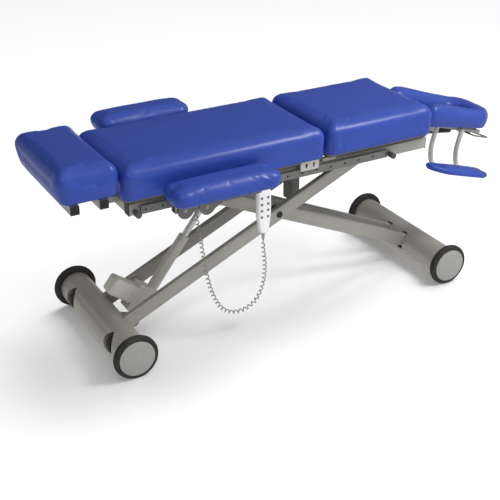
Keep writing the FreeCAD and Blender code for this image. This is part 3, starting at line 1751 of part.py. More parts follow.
def on_gas_line(thing):
    thing.Placement = Placement(Vector(), Rotation(Vector(0, 1, 0), -gas_line()[0]))
    bind(thing, "Placement.Base.x", d.lift_middle_x + d.gas_low_x)
    bind(thing, "Placement.Base.z", d.gas_low_z)
    return thing


def gas_cylinder():
    inside = d.gas_radius - d.gas_wall
    body = revolved_along_x("GasCylinder", [
        (0, 0),
        (0, d.gas_neck),
        (d.gas_neck_length, d.gas_neck),
        (d.gas_shoulder, d.gas_radius),
        (d.gas_length, d.gas_radius),
        (d.gas_length, d.gas_rod_radius + d.running_gap),
        (d.gas_length - d.gas_guide, d.gas_rod_radius + d.running_gap),
        (d.gas_length - d.gas_guide, inside),
        (d.gas_bottom, inside),
        (d.gas_bottom, 0),
    ])
    boss = sketch_on(body, "XZ_Plane")
    circle(boss, 0, 0, d.gas_boss_radius)
    pad(body, boss, d.gas_eye_width)
    bore = sketch_on(body, "XZ_Plane")
    circle(bore, 0, 0, d.gas_pin_radius + d.running_gap)
    pocket(body, bore)
    return on_gas_line(body)


def gas_rod():
    long = as_size(gas_line()[1])
    piston = d.gas_radius - d.gas_wall - d.seat_gap
    body = revolved_along_x("GasRod", [
        (d.gas_rod_start, 0),
        (d.gas_rod_start, piston),
        (d.gas_rod_start + d.gas_guide, piston),
        (d.gas_rod_start + d.gas_guide, d.gas_rod_radius),
        (long, d.gas_rod_radius),
        (long, 0),
    ])
    eye = sketch_on(body, "XZ_Plane")
    circle(eye, long, 0, d.gas_boss_radius)
    pad(body, eye, d.gas_eye_width)
    pin = sketch_on(body, "XZ_Plane")
    circle(pin, long, 0, d.gas_pin_radius)
    pad(body, pin, d.gas_eye_width + d.seat_gap * 2 + d.gas_lug * 2)
    return on_gas_line(body)


# Armrests


def carriage(side, shift):
    """Slide on the accessory rail: a hooked clamp and the box tube with the link pins."""
    size = d.carriage_size
    low, high = d.carriage_bottom, d.carriage_bottom + size
    near, far = d.carriage_y - size / 2, d.carriage_y + size / 2
    tube = box(d.carriage_left, d.carriage_right, near, far, low, high)
    wall = d.carriage_wall
    hollow = box(d.carriage_left - d.cut_overrun, d.carriage_right + d.cut_overrun, near + wall, far - wall,
                 low + wall, high - wall)
    clamp = new_body("Clamp")
    section = sketch_on(clamp, "YZ_Plane")
    rail_top = d.rail_bottom + d.rail_height
    back = d.rail_face_y - d.rail_thickness
    gap = d.seat_gap
    bottom, top = d.rail_bottom - gap - d.clamp_lip, rail_top + gap + d.clamp_lip
    outline(section, [
        (near, bottom),
        (near, top),
        (back - gap - d.clamp_hook, top),
        (back - gap - d.clamp_hook, rail_top - d.clamp_hook_depth),
        (back - gap, rail_top - d.clamp_hook_depth),
        (back - gap, rail_top + gap),
        (d.rail_face_y + gap, rail_top + gap),
        (d.rail_face_y + gap, d.rail_bottom - gap),
        (back - gap, d.rail_bottom - gap),
        (back - gap, d.rail_bottom + d.clamp_hook_depth),
        (back - gap - d.clamp_hook, d.rail_bottom + d.clamp_hook_depth),
        (back - gap - d.clamp_hook, bottom),
    ])
    pad(clamp, section, d.clamp_right - d.clamp_left)
    place(clamp, (d.clamp_left + d.clamp_right) / 2, 0, 0)
    pin_end = far + d.link_thickness * 2 + gap * 2
    pieces = [clamp, cut(tube, hollow)]
    z = d.link_pivot_z
    first_end = far + gap + d.link_thickness
    first = cylinder_y(d.link_pin_radius, d.link_pivot_left, far, first_end, z)
    second = cylinder_y(d.link_pin_radius, d.link_pivot_right, far, pin_end, z)
    shoulder = cylinder_y(d.link_shoulder, d.link_pivot_right, far, first_end, z)
    pieces += [first, second, shoulder]
    return on_side(fuse(*pieces), side, shift)


def on_side(thing, side, shift):
    """Move an armrest piece along its rail, and mirror it for the front."""
    holder = doc.addObject("Part::Compound", "Side")
    holder.Links = [thing]
    bind(holder, "Placement.Base.x", shift)
    if side < 0:
        return mirrored(holder)
    return holder


def link(side, shift, pivot_x, angle, layer):
    """One swinging arm: large disc at the rail, small eye under the pad."""
    body = new_body("Link")
    web = sketch_on(body, "XZ_Plane")
    outline(web, [
        (0, -d.link_web), (d.link_length, -d.link_end),
        (d.link_length, d.link_end), (0, d.link_web),
    ])
    pad(body, web, d.link_thickness)
    for x, radius in ((as_size(0), d.link_disc), (d.link_length, d.link_end)):
        end = sketch_on(body, "XZ_Plane")
        circle(end, x, 0, radius)
        pad(body, end, d.link_thickness)
    bores = sketch_on(body, "XZ_Plane")
    circle(bores, 0, 0, d.link_pin_radius + d.running_gap)
    circle(bores, d.link_length, 0, d.link_top_pin_radius + d.running_gap)
    pocket(body, bores)
    near = d.carriage_y + d.carriage_size / 2 + d.seat_gap
    y = near + d.link_thickness / 2 + (d.link_thickness + d.seat_gap) * layer
    place(body, pivot_x, y, d.link_pivot_z, (0, 1, 0), -angle)
    return on_side(body, side, shift)


def pad_place(angle):
    """Where the first link's eye stands."""
    return d.link_pivot_left + d.link_length * angle.cos(), d.link_pivot_z + d.link_length * angle.sin()


def pad_bracket(side, shift, angle):
    """Flange under the armrest pad with the plate and pins for both links."""
    x, z = pad_place(angle)
    span = d.link_pivot_right - d.link_pivot_left
    inner = d.carriage_y + d.carriage_size / 2 + d.seat_gap
    outer = inner + d.link_thickness * 2 + d.seat_gap * 2
    plate_out = outer + d.pad_bracket_thickness
    under = z + d.armrest_above_pivot
    plate = box(x - d.link_end, x + span + d.link_end, outer, plate_out, z - d.link_end, under)
    flange = box(x - d.pad_flange_spare, x + span + d.pad_flange_spare, d.pad_flange_inner,
                 d.pad_flange_outer, under - d.pad_flange, under)
    first = cylinder_y(d.link_top_pin_radius, x, inner, plate_out, z)
    second = cylinder_y(d.link_top_pin_radius, x + span, inner + d.link_thickness + d.seat_gap, plate_out, z)
    return on_side(fuse(plate, flange, first, second), side, shift)


def armrest_pad(side, shift, angle, left):
    x, z = pad_place(angle)
    outer = d.armrest_inner + d.armrest_width
    points = rectangle_points(-left, d.armrest_right, d.armrest_inner, outer, d.armrest_corner)
    shape = soft_form(points, 0, float(d.armrest_thickness), float(d.cushion_tuck),
                      float(d.armrest_round), float(d.armrest_crown), float(d.armrest_crown_inset))
    pad_piece = place(solid(shape, "ArmPad"), x, 0, z + d.armrest_above_pivot)
    return on_side(pad_piece, side, shift)


# The handset and its curly cord


def handset_y():
    """Middle of the handset's thickness, behind which its hook runs."""
    return -(d.rail_face_y + d.seat_gap * 2 + d.hook_thickness + d.handset_thickness / 2)


def handset_hook():
    """Strip bent over the accessory rail that carries the handset."""
    body = new_body("Hook")
    section = sketch_on(body, "YZ_Plane")
    rail_top = d.rail_bottom + d.rail_height
    back = -(d.rail_face_y - d.rail_thickness)
    face = -d.rail_face_y
    gap, thick = d.seat_gap, d.hook_thickness
    top = rail_top + gap
    outline(section, [
        (face - gap - thick, top + thick),
        (face - gap - thick, top - d.hook_front_drop),
        (face - gap, top - d.hook_front_drop),
        (face - gap, top),
        (back + gap, top),
        (back + gap, top - d.hook_back_drop),
        (back + gap + thick, top - d.hook_back_drop),
        (back + gap + thick, top + thick),
    ])
    pad(body, section, d.hook_width)
    return place(body, d.handset_x, 0, 0)


def handset_shell():
    """Handset shell, narrower towards its cord, with a square recess for each key."""
    body = new_body("Handset")
    face = sketch_on(body, "XZ_Plane")
    half_w, half_h, foot = d.handset_width / 2, d.handset_height / 2, d.handset_foot_width / 2
    outline(face, [(-foot, -half_h), (foot, -half_h), (half_w, half_h), (-half_w, half_h)])
    pad(body, face, d.handset_thickness)
    fillet(body, d.handset_corner, lambda edge: along_axis(edge, (0, 1, 0)))
    chamfer(body, d.handset_edge, lambda edge: in_plane(edge, 1, d.handset_thickness / 2))
    front = d.handset_thickness / 2 - d.key_recess / 2
    keys = sketch_on(body, "XZ_Plane", front)
    first = half_h - d.key_first_down
    room = d.key_size / 2 + d.seat_gap
    for x in (-d.key_spread, d.key_spread):
        rectangle(keys, x - room, x + room, first - room, first + room)
    recess = pocket(body, keys, d.key_recess)
    repeat = pattern(body, recess, keys, "V_Axis", d.key_pitch * (KEY_ROWS - 1), KEY_ROWS)
    repeat.Reversed = True
    return place(body, d.handset_x, handset_y(), d.handset_top - half_h)


def handset_keys():
    keys = []
    half = d.key_size / 2
    front = handset_y() - d.handset_thickness / 2
    near, far = front - d.key_height, front + d.key_recess
    for row in range(KEY_ROWS):
        z = d.handset_top - d.key_first_down - d.key_pitch * row
        for x in (d.handset_x - d.key_spread, d.handset_x + d.key_spread):
            keys.append(box(x - half, x + half, near, far, z - half, z + half))
    return group(*keys)


def strain_relief():
    """Tapered sleeve where the cord leaves the handset."""
    sleeve = doc.addObject("Part::Cone", "Sleeve")
    bind(sleeve, "Radius1", d.relief_end_radius)
    bind(sleeve, "Radius2", d.relief_top_radius)
    bind(sleeve, "Height", d.relief_length)
    return place(sleeve, d.handset_x, handset_y(), d.handset_top - d.handset_height - d.relief_length)


def cord_gland():
    """Gland under the front frame tube where the cord goes in."""
    gland = doc.addObject("Part::Prism", "Gland")
    gland.Polygon = 6
    bind(gland, "Circumradius", d.gland_radius)
    bind(gland, "Height", d.gland_length)
    x, y, z = CORD_ROUTE[-1]
    return place(gland, x, y, d.frame_bottom - d.gland_length)


def cord_line():
    """The cord's middle line: its edges, and their lengths summed."""
    points = [Vector(x + float(d.lift_middle_x), y, z) for x, y, z in CORD_ROUTE]
    radii = []
    for index in range(1, len(points) - 1):
        before, after = points[index] - points[index - 1], points[index + 1] - points[index]
        turn = before.getAngle(after)
        radii.append(CORD_BEND_SHARE * min(before.Length, after.Length) / math.tan(turn / 2))
    print("least radius of the cord's middle line: %.1f mm" % min(radii))
    return bent_path(points, radii)


def point_on(edges, distance):
    """Place and heading at a distance along a chain of edges."""
    for edge in edges:
        if distance <= edge.Length or edge is edges[-1]:
            at = edge.getParameterByLength(min(distance, edge.Length))
            return edge.valueAt(at), edge.tangentAt(at)
        distance -= edge.Length


def curly_line(edges, steps):
    """Points of the curls, a few to each turn, on a frame carried along the middle line."""
    total = sum(edge.Length for edge in edges)
    lead = float(d.cord_wire) * 2
    start, heading = point_on(edges, 0)
    side = heading.cross(Vector(0, 1, 0)).normalize()
    count = CORD_CURLS * steps
    points = []
    for index in range(count + 1):
        share = index / count
        place_now, now = point_on(edges, lead + (total - lead * 2) * share)
        side = (side - now * side.dot(now)).normalize()
        across = now.cross(side)
        turn = 2 * math.pi * CORD_CURLS * share
        ramp = min(1, index / steps, (count - index) / steps)
        reach = float(d.cord_coil) * ramp * ramp * (3 - 2 * ramp)
        points.append(place_now + side * (reach * math.cos(turn)) + across * (reach * math.sin(turn)))
    return points, start, point_on(edges, total)[0]


def biarc(start, first, end, second):
    """Two tangent arcs from one place and heading to another."""
    chord = end - start
    both = first + second
    square = 2 * (1 - first.dot(second))
    along = chord.dot(both)
    if abs(square) < 1e-9:
        reach = chord.dot(chord) / (2 * along)
    else:
        reach = (-along + math.sqrt(along * along + square * chord.dot(chord))) / square
    knee_a = start + first * reach
    knee_b = end - second * reach
    middle = (knee_a + knee_b) / 2
    return [tangent_arc(start, first, middle), tangent_arc(middle, knee_b - knee_a, end)]


def tangent_arc(start, heading, end):
    """An arc that leaves its start along a heading."""
    chord = end - start
    way = Vector(heading).normalize()
    line = Vector(chord).normalize()
    turn = way.getAngle(line)
    if turn < 1e-4:
        return Part.LineSegment(start, end).toShape()
    out = (way - line * way.dot(line)).normalize()
    middle = start + chord / 2 + out * (chord.Length / 2 * math.tan(turn / 2))
    return Part.Arc(start, middle, end).toShape()


def handset_cord():
    """The curly cord: one unbroken tube wound round its middle line."""
    steps = TURN_STEPS
    edges = cord_line()
    points, start, end = curly_line(edges, steps)
    fine = curly_line(edges, steps * FINE_STEPS)[0]
    headings = []
    for index in range(len(points)):
        here = index * FINE_STEPS
        ahead = fine[min(here + 1, len(fine) - 1)]
        behind = fine[max(here - 1, 0)]
        headings.append((ahead - behind).normalize())
    headings[0] = (points[0] - start).normalize()
    headings[-1] = (end - points[-1]).normalize()
    path = [Part.LineSegment(start, points[0]).toShape()]
    for index in range(len(points) - 1):
        path += biarc(points[index], headings[index], points[index + 1], headings[index + 1])
    path.append(Part.LineSegment(points[-1], end).toShape())
    wire = Part.Wire(path)
    corners = []
    first = headings[0]
    side = first.cross(Vector(0, 1, 0)).normalize()
    across = first.cross(side)
    for index in range(CORD_SIDES + 1):
        turn = 2 * math.pi * index / CORD_SIDES
        corners.append(start + (side * math.cos(turn) + across * math.sin(turn)) * float(d.cord_wire))
    shell = wire.makePipeShell([Part.makePolygon(corners)], True, False)
    least = least_gap(fine, steps * FINE_STEPS)
    print("cord: %d curls, tube %.0f mm long, least gap %.1f mm" % (CORD_CURLS, wire.Length, least))
    section = Part.Face(Part.makePolygon(corners)).Area
    print("cord: volume over section times length %.4f" % (shell.Volume / section / wire.Length))
    return solid(shell, "Cord")


def least_gap(points, turn_steps):
    """Least clear distance between one turn and the next."""
    least = None
    wire = float(d.cord_wire) * 2
    for index in range(turn_steps, len(points) - turn_steps):
        for other in range(index + turn_steps // 2, min(index + turn_steps * 2, len(points))):
            gap = (points[index] - points[other]).Length - wire
            if least is None or gap < least:
                least = gap
    return least


# Every sub-part under the name of its file

keep(cross_tube(-1), "foot_tube")
keep(tyre(-1), "foot_tyres")
keep(end_cap(-1), "foot_end_caps")
keep(base_pins(), "base_pins")
keep(transport_wheels(), "transport_wheels")
keep(actuator_bracket(), "actuator_bracket")
keep(cross_tube(1), "head_tube")
keep(tyre(1), "head_tyres")
keep(end_cap(1), "head_end_caps")
head_axle_half = d.tyre_face_y - d.seat_gap
keep(cylinder_y(d.head_axle_radius, d.half_span, -head_axle_half, head_axle_half, d.tyre_radius), "head_axle")
keep(outer_arms(), "outer_arms")
keep(inner_arms(), "inner_arms")
keep(lift_pins(), "lift_pins")
keep(actuator_yoke(), "actuator_yoke")
keep(roller_shaft(), "roller_shaft")
keep(track_rollers(), "track_rollers")
keep(actuator_rod(), "actuator_rod")
keep(actuator_tube(), "actuator_tube")
keep(motor_housing(), "motor_housing")
keep(frame_tubes(), "frame_tubes")
keep(frame_plugs(), "frame_plugs")
keep(frame_cross_members(), "frame_cross_members")
keep(frame_brackets(), "frame_brackets")
keep(accessory_rails(), "accessory_rails")
keep(rail_knobs(), "rail_knobs")
keep(control_box(), "control_box")
keep(hinge_plates(), "hinge_plates")
margin = d.board_margin
short = d.board_end_margin
board_top = d.board_bottom + d.board_thickness
foot_board_top = d.foot_board_bottom + d.board_thickness
keep(board(d.middle_left + margin, d.middle_right - short, d.board_half_width, d.board_bottom,
           d.board_thickness), "middle_board")
keep(bed_cushion(d.middle_left, d.middle_right, board_top, board_top + d.cushion_thickness),
     "middle_cushion")
keep(board(d.thoracic_left + short, d.thoracic_right - short, d.board_half_width, d.board_bottom,
           d.board_thickness), "thoracic_board")
keep(thoracic_hinge_arms(), "thoracic_hinge_arms")
keep(bed_cushion(d.thoracic_left, d.thoracic_right, board_top, board_top + d.cushion_thickness),
     "thoracic_cushion")
keep(foot_frame(), "foot_frame")
keep(foot_plugs(), "foot_plugs")
keep(board(d.foot_left + margin, d.foot_right - margin, d.board_half_width, d.foot_board_bottom,
           d.board_thickness), "foot_board")
keep(bed_cushion(d.foot_left, d.foot_right, foot_board_top, foot_board_top + d.foot_cushion_thickness),
     "foot_cushion")
keep(head_cushion(), "head_cushion")
keep(head_board(), "head_board")
keep(head_rails(), "head_rails")
keep(head_lever(), "head_lever")
keep(forearm_tubes(), "forearm_tubes")
keep(forearm_pads(), "forearm_pads")
keep(gas_cylinder(), "gas_cylinder")
keep(gas_rod(), "gas_rod")
no_shift = as_size(0)
for side, shift, angle, left, word in (
    (-1, no_shift, d.link_angle_front, d.armrest_left, "front"),
    (1, d.rear_carriage_shift, d.link_angle_rear, d.armrest_left_rear, "rear"),
):
    keep(carriage(side, shift), "armrest_carriage_" + word)
    keep(link(side, shift, d.link_pivot_left, angle, 0), "armrest_link_a_" + word)
    keep(link(side, shift, d.link_pivot_right, angle, 1), "armrest_link_b_" + word)
    keep(pad_bracket(side, shift, angle), "armrest_bracket_" + word)
    keep(armrest_pad(side, shift, angle, left), "armrest_pad_" + word)
keep(handset_hook(), "handset_hook")
keep(handset_shell(), "handset_shell")
keep(handset_keys(), "handset_keys")
keep(strain_relief(), "strain_relief")
keep(handset_cord(), "handset_cord")
keep(cord_gland(), "cord_gland")

doc.recompute()
problems = []
for thing in doc.Objects:
    if "Invalid" in thing.State or "Error" in thing.State:
        problems.append("%s (%s): %s" % (thing.Label, thing.Name, thing.State))
for thing in parts:
    if thing.Shape.isNull() or not thing.Shape.isValid() or not thing.Shape.Solids:
        problems.append("%s has no valid shape" % thing.Label)
if problems:
    raise RuntimeError("; ".join(problems))

os.makedirs("parts", exist_ok=True)
for thing in parts:
    thing.Shape.exportStep(os.path.join("parts", thing.Label + ".step"))
print("%d sub-parts written" % len(parts))
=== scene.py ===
import json
import math

import bmesh
import bpy
import numpy as np
from mathutils import Matrix, Vector

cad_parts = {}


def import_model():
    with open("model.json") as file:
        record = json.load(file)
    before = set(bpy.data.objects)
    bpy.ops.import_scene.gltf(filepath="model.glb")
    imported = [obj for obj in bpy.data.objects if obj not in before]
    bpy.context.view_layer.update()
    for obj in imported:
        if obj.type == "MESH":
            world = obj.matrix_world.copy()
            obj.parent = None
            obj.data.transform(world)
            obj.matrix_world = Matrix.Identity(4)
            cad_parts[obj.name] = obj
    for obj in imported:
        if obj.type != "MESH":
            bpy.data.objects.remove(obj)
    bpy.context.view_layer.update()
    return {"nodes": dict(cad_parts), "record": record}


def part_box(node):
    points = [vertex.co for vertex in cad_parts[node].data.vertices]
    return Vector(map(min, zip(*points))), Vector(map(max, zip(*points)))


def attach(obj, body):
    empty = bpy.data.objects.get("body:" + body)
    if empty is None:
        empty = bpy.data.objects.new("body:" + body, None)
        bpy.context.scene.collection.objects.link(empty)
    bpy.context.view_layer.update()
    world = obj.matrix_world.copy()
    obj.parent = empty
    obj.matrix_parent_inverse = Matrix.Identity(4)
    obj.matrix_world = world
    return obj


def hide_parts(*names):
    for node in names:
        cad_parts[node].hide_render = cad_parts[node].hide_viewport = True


# Chiropractic table. Lengths are in metres and angles in degrees unless a name says
# otherwise. MM turns millimetres into metres.

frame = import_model()
NODES = frame["nodes"]

MM = 0.001
LIFT_X = -0.085

# Camera, as solved from the photograph
CAMERA_PLACE = (-2.1567, -3.5178, 2.3511)
CAMERA_TURN = -29.5625
CAMERA_RISE = 27.357
CAMERA_LENS = 74.853
CAMERA_SHIFT = -0.0084

# Cushions: the bed pads' corner radius in plan, shoulder radius, crown and growth past
# their solids, then what the foot cushion and its board draw in at their free end
VOXEL = 0.0075
BED_CORNER = 0.040
BED_ROUND = 0.040
BED_CROWN = 0.004
BED_GROWTH = 0.004
BED_RISE = 0.002
BED_REACH = 0.12
FOOT_DRAW = 0.018
FOOT_DRAW_HEIGHT = 0.7
FOOT_DRAW_RUN = 0.09
FOOT_BOARD_IN = 0.035
UNDER_ROUND = 0.010
SIDE_DRAW = 0.006
ROUND_SHARP = 40
PAD_STEPS = 6
PAD_WAIST = (0.3, 0.4)
PAD_WIDEST = 0.55
ARC_STEPS = 7
SIDE_GAP = 0.03
PUFF_STEPS = 20
PUFF_PRESSURE = 4.0
PUFF_CAP = 0.006
PUFF_STIFFNESS = 25
PUFF_QUALITY = 4

# Curly cord
CORD_CURLS = 46
CORD_COIL = 7.0 * MM
CORD_WIRE = 2.5 * MM
CORD_STEPS = 14
CORD_ROUTE = [
    (-152, -242.5, 417),
    (-152, -242.5, 372),
    (-145, -243, 326),
    (-142, -241, 279),
    (-144, -238, 236),
    (-151, -235, 193),
    (-166, -232, 152),
    (-192, -230, 119),
    (-229, -227, 100),
    (-269, -224, 95),
    (-307, -221, 105),
    (-338, -218, 132),
    (-360, -216, 170),
    (-376, -213, 210),
    (-387, -210, 253),
    (-397, -207, 299),
    (-404, -204, 346),
    (-409, -201, 392),
    (-414, -198, 443),
    (-420, -195, 495),
    (-427, -192, 543),
    (-433, -190, 582),
    (-433, -190, 618),
]

# Light: the key lamp's direction, the sky's strength away from it and towards it, and the
# floor's own lamp and glow, with its strength as seen in shiny pieces
KEY_WAY = (0.445, -0.454, 0.771)
SKY_FROM = 0.1
SKY_DIM = 0.13
SKY_BRIGHT = 0.85
FLOOR_HALF = 20.0
FLOOR_COLOUR = (0.86, 0.86, 0.865)
FLOOR_ROUGH = 0.32
FLOOR_LEVEL = 0.2
FLOOR_GLOW = 0.12
FLOOR_SUN_WAY = (0.42, 0.30, 0.86)
FLOOR_SUN = 2.15
FLOOR_SUN_SPREAD = 40
FLOOR_IN_GLOSS = 0.55

scene = bpy.context.scene


# Node helpers for the materials


NOISE_LOW, NOISE_HIGH = 0.3, 0.7
# Pointiness range over which convex edges take the painted highlight
EDGE_LOW, EDGE_HIGH = 0.52, 0.62


class Shade:
    """One material's nodes, built from small steps."""

    def __init__(self, name, colour, rough, metal=0.0):
        self.material = bpy.data.materials.new(name)
        self.material.use_nodes = True
        self.tree = self.material.node_tree
        self.shader = self.tree.nodes["Principled BSDF"]
        self.set(base=colour, rough=rough, metal=metal)
        self.where = self.add("ShaderNodeTexCoord").outputs["Object"]

    def set(self, base=None, rough=None, metal=None, level=None):
        names = {
            "Base Color": (*base, 1.0) if base else None,
            "Roughness": rough,
            "Metallic": metal,
            "Specular IOR Level": level,
        }
        for socket, value in names.items():
            if value is not None:
                self.shader.inputs[socket].default_value = value

    def add(self, kind, **values):
        node = self.tree.nodes.new(kind)
        for key, value in values.items():
            setattr(node, key, value)
        return node

    def link(self, out, into):
        self.tree.links.new(out, into)

    def stretched(self, scale):
        node = self.add("ShaderNodeMapping")
        node.inputs["Scale"].default_value = scale
        self.link(self.where, node.inputs["Vector"])
        return node.outputs["Vector"]

    def noise(self, scale, detail=3.0, rough=0.5, stretch=None):
        node = self.add("ShaderNodeTexNoise")
        node.inputs["Scale"].default_value = scale
        node.inputs["Detail"].default_value = detail
        node.inputs["Roughness"].default_value = rough
        self.link(self.stretched(stretch) if stretch else self.where, node.inputs["Vector"])
        return node.outputs["Fac"]

    def cells(self, scale):
        node = self.add("ShaderNodeTexVoronoi", feature="SMOOTH_F1")
        node.inputs["Scale"].default_value = scale
        self.link(self.where, node.inputs["Vector"])
        return node.outputs["Distance"]

    def spread(self, value, low, high, new_low, new_high):
        node = self.add("ShaderNodeMapRange")
        node.inputs["From Min"].default_value = low
        node.inputs["From Max"].default_value = high
        node.inputs["To Min"].default_value = new_low
        node.inputs["To Max"].default_value = new_high
        self.link(value, node.inputs["Value"])
        return node.outputs["Result"]

    def between(self, noise, new_low=0.0, new_high=1.0):
        """The middle part of a noise, where most of it lies, stretched over a range."""
        return self.spread(noise, NOISE_LOW, NOISE_HIGH, new_low, new_high)

    def mixed(self, share, first, second):
        node = self.add("ShaderNodeMix", data_type="RGBA")
        self.link(share, node.inputs[0])
        for index, colour in ((6, first), (7, second)):
            if isinstance(colour, tuple):
                node.inputs[index].default_value = (*colour, 1.0)
            else:
                self.link(colour, node.inputs[index])
        return node.outputs[2]

    def painted_edge_highlight(self):
        """Share of painted highlight that grows at convex edges, from the surface's own pointiness."""
        geometry = self.add("ShaderNodeNewGeometry")
        return self.spread(geometry.outputs["Pointiness"], EDGE_LOW, EDGE_HIGH, 0.0, 1.0)

    def colour(self, out):
        self.link(out, self.shader.inputs["Base Color"])

    def roughness(self, out):
        self.link(out, self.shader.inputs["Roughness"])

    def bump(self, height, strength, distance):
        node = self.add("ShaderNodeBump")
        node.inputs["Strength"].default_value = strength
        node.inputs["Distance"].default_value = distance
        earlier = self.shader.inputs["Normal"].links
        if earlier:
            self.link(earlier[0].from_socket, node.inputs["Normal"])
        self.link(height, node.inputs["Height"])
        self.link(node.outputs["Normal"], self.shader.inputs["Normal"])


# Materials, one for each slot of the record


def cushion_vinyl():
    """Blue upholstery vinyl: fine grain, faint mottling and a soft gloss."""
    shade = Shade("cushion_vinyl", (0.031, 0.071, 0.38), 0.30)
    shade.set(level=0.34)
    mottle = shade.between(shade.noise(9.0, 4.0, 0.6))
    shade.colour(shade.mixed(mottle, (0.029, 0.067, 0.365), (0.033, 0.074, 0.395)))
    shade.roughness(shade.between(shade.noise(55.0, 5.0, 0.65), 0.27, 0.34))
    shade.bump(shade.cells(900.0), 0.10, 0.0004)
    shade.bump(shade.noise(26.0, 3.0), 0.06, 0.0022)
    return shade.material


def metal_paint():
    """Satin powder paint with an orange-peel skin, and convex edges painted paler as a painted highlight.
    """
    shade = Shade("frame_paint", (0.30, 0.29, 0.265), 0.42, 0.10)
    shade.set(level=0.4)
    tone = shade.between(shade.noise(6.0, 3.0))
    base = shade.mixed(tone, (0.285, 0.275, 0.252), (0.315, 0.304, 0.28))
    # Convex edges are mixed towards a paler grey: a painted highlight, not wear
    shade.colour(shade.mixed(shade.painted_edge_highlight(), base, (0.40, 0.39, 0.36)))
    shade.roughness(shade.between(shade.noise(40.0, 4.0), 0.33, 0.44))
    shade.bump(shade.noise(420.0, 2.0), 0.10, 0.0004)
    return shade.material


def brushed_tube():
    """Brushed steel: marks that run round the big cross tubes, across their length."""
    shade = Shade("steel_tube", (0.50, 0.47, 0.425), 0.36, 0.40)
    shade.shader.inputs["Anisotropic"].default_value = 0.3
    brush = shade.noise(160.0, 4.0, 0.7, stretch=(1.0, 0.04, 1.0))
    fine = shade.noise(900.0, 3.0, 0.6, stretch=(1.0, 0.03, 1.0))
    tone = shade.between(brush)
    shade.colour(shade.mixed(tone, (0.47, 0.443, 0.40), (0.53, 0.50, 0.45)))
    shade.roughness(shade.between(fine, 0.32, 0.41))
    shade.bump(fine, 0.03, 0.0003)
    return shade.material


def plated(name, dark, light, metal):
    """Zinc-plated or satin steel, with streaks along its length."""
    shade = Shade(name, dark, 0.40, metal)
    streak = shade.noise(240.0, 4.0, 0.6, stretch=(0.05, 1.0, 1.0))
    tone = shade.between(shade.noise(14.0, 3.0))
    shade.colour(shade.mixed(tone, dark, light))
    shade.roughness(shade.between(streak, 0.34, 0.46))
    shade.bump(streak, 0.04, 0.0004)
    return shade.material


def plated_steel():
    return plated("plated_steel", (0.165, 0.162, 0.156), (0.20, 0.196, 0.188), 0.25)


def bright_steel():
    """The paler plating of the forearm tubes, the hinge plates and the actuator."""
    return plated("bright_steel", (0.56, 0.54, 0.505), (0.63, 0.61, 0.57), 0.35)


def chrome_rod():
    shade = Shade("chrome_rod", (0.86, 0.86, 0.86), 0.12, 0.85)
    shade.roughness(shade.between(shade.noise(300.0, 3.0, stretch=(0.1, 1.0, 1.0)), 0.07, 0.16))
    return shade.material


def tyre_rubber():
    """Dark rubber with a dusty bloom and moulding specks."""
    shade = Shade("tyre_rubber", (0.034, 0.033, 0.031), 0.62)
    shade.set(level=0.3)
    dust = shade.spread(shade.noise(18.0, 5.0, 0.65), 0.45, 0.75, 0.0, 1.0)
    shade.colour(shade.mixed(dust, (0.030, 0.029, 0.027), (0.050, 0.048, 0.045)))
    shade.roughness(shade.between(shade.noise(90.0, 3.0), 0.55, 0.72))
    shade.bump(shade.noise(650.0, 2.0), 0.15, 0.0004)
    return shade.material


def silver_cap():
    """Silver-painted plastic dome: metal flake under a satin coat."""
    shade = Shade("silver_caps", (0.46, 0.457, 0.44), 0.36, 0.45)
    flake = shade.between(shade.noise(260.0, 4.0, 0.6, stretch=(1.0, 1.0, 0.06)))
    shade.colour(shade.mixed(flake, (0.43, 0.427, 0.41), (0.49, 0.487, 0.47)))
    shade.roughness(shade.between(shade.noise(60.0, 3.0), 0.30, 0.40))
    return shade.material


def moulded(name, dark, light, low, high, grain):
    """Moulded plastic with a spark-eroded grain."""
    middle = tuple((a + b) / 2 for a, b in zip(dark, light))
    shade = Shade(name, middle, (low + high) / 2)
    tone = shade.between(shade.noise(11.0, 3.0))
    shade.colour(shade.mixed(tone, dark, light))
    shade.roughness(shade.between(shade.noise(70.0, 4.0), low, high))
    shade.bump(shade.noise(grain, 2.0), 0.08, 0.0003)
    return shade.material


def black_plastic():
    return moulded("black_plastic", (0.012, 0.012, 0.012), (0.022, 0.021, 0.021), 0.42, 0.55, 700.0)


def black_paint():
    return moulded("black_paint", (0.008, 0.008, 0.008), (0.014, 0.014, 0.014), 0.22, 0.34, 300.0)


def motor_plastic():
    return moulded("motor_plastic", (0.64, 0.605, 0.555), (0.70, 0.665, 0.615), 0.38, 0.50, 600.0)


def box_plastic():
    return moulded("box_plastic", (0.20, 0.20, 0.19), (0.24, 0.235, 0.225), 0.40, 0.52, 600.0)


def handset_plastic():
    return moulded("handset_plastic", (0.90, 0.90, 0.895), (0.95, 0.95, 0.945), 0.28, 0.38, 800.0)


def knob_plastic():
    return moulded("knob_plastic", (0.07, 0.07, 0.07), (0.10, 0.10, 0.10), 0.38, 0.48, 700.0)


def key_plastic():
    return moulded("key_plastic", (0.13, 0.13, 0.14), (0.17, 0.17, 0.18), 0.35, 0.45, 700.0)


def cord_rubber():
    return moulded("cord_rubber", (0.33, 0.32, 0.295), (0.39, 0.38, 0.35), 0.40, 0.52, 500.0)


def board_wood():
    """Painted board under the cushions, with faint grain in its paint."""
    shade = Shade("board_wood", (0.15, 0.135, 0.115), 0.55)
    grain = shade.noise(70.0, 4.0, 0.6, stretch=(0.08, 1.0, 1.0))
    shade.colour(shade.mixed(shade.between(grain), (0.13, 0.117, 0.10),
                             (0.17, 0.155, 0.13)))
    shade.roughness(shade.between(grain, 0.5, 0.65))
    shade.bump(grain, 0.08, 0.0006)
    return shade.material


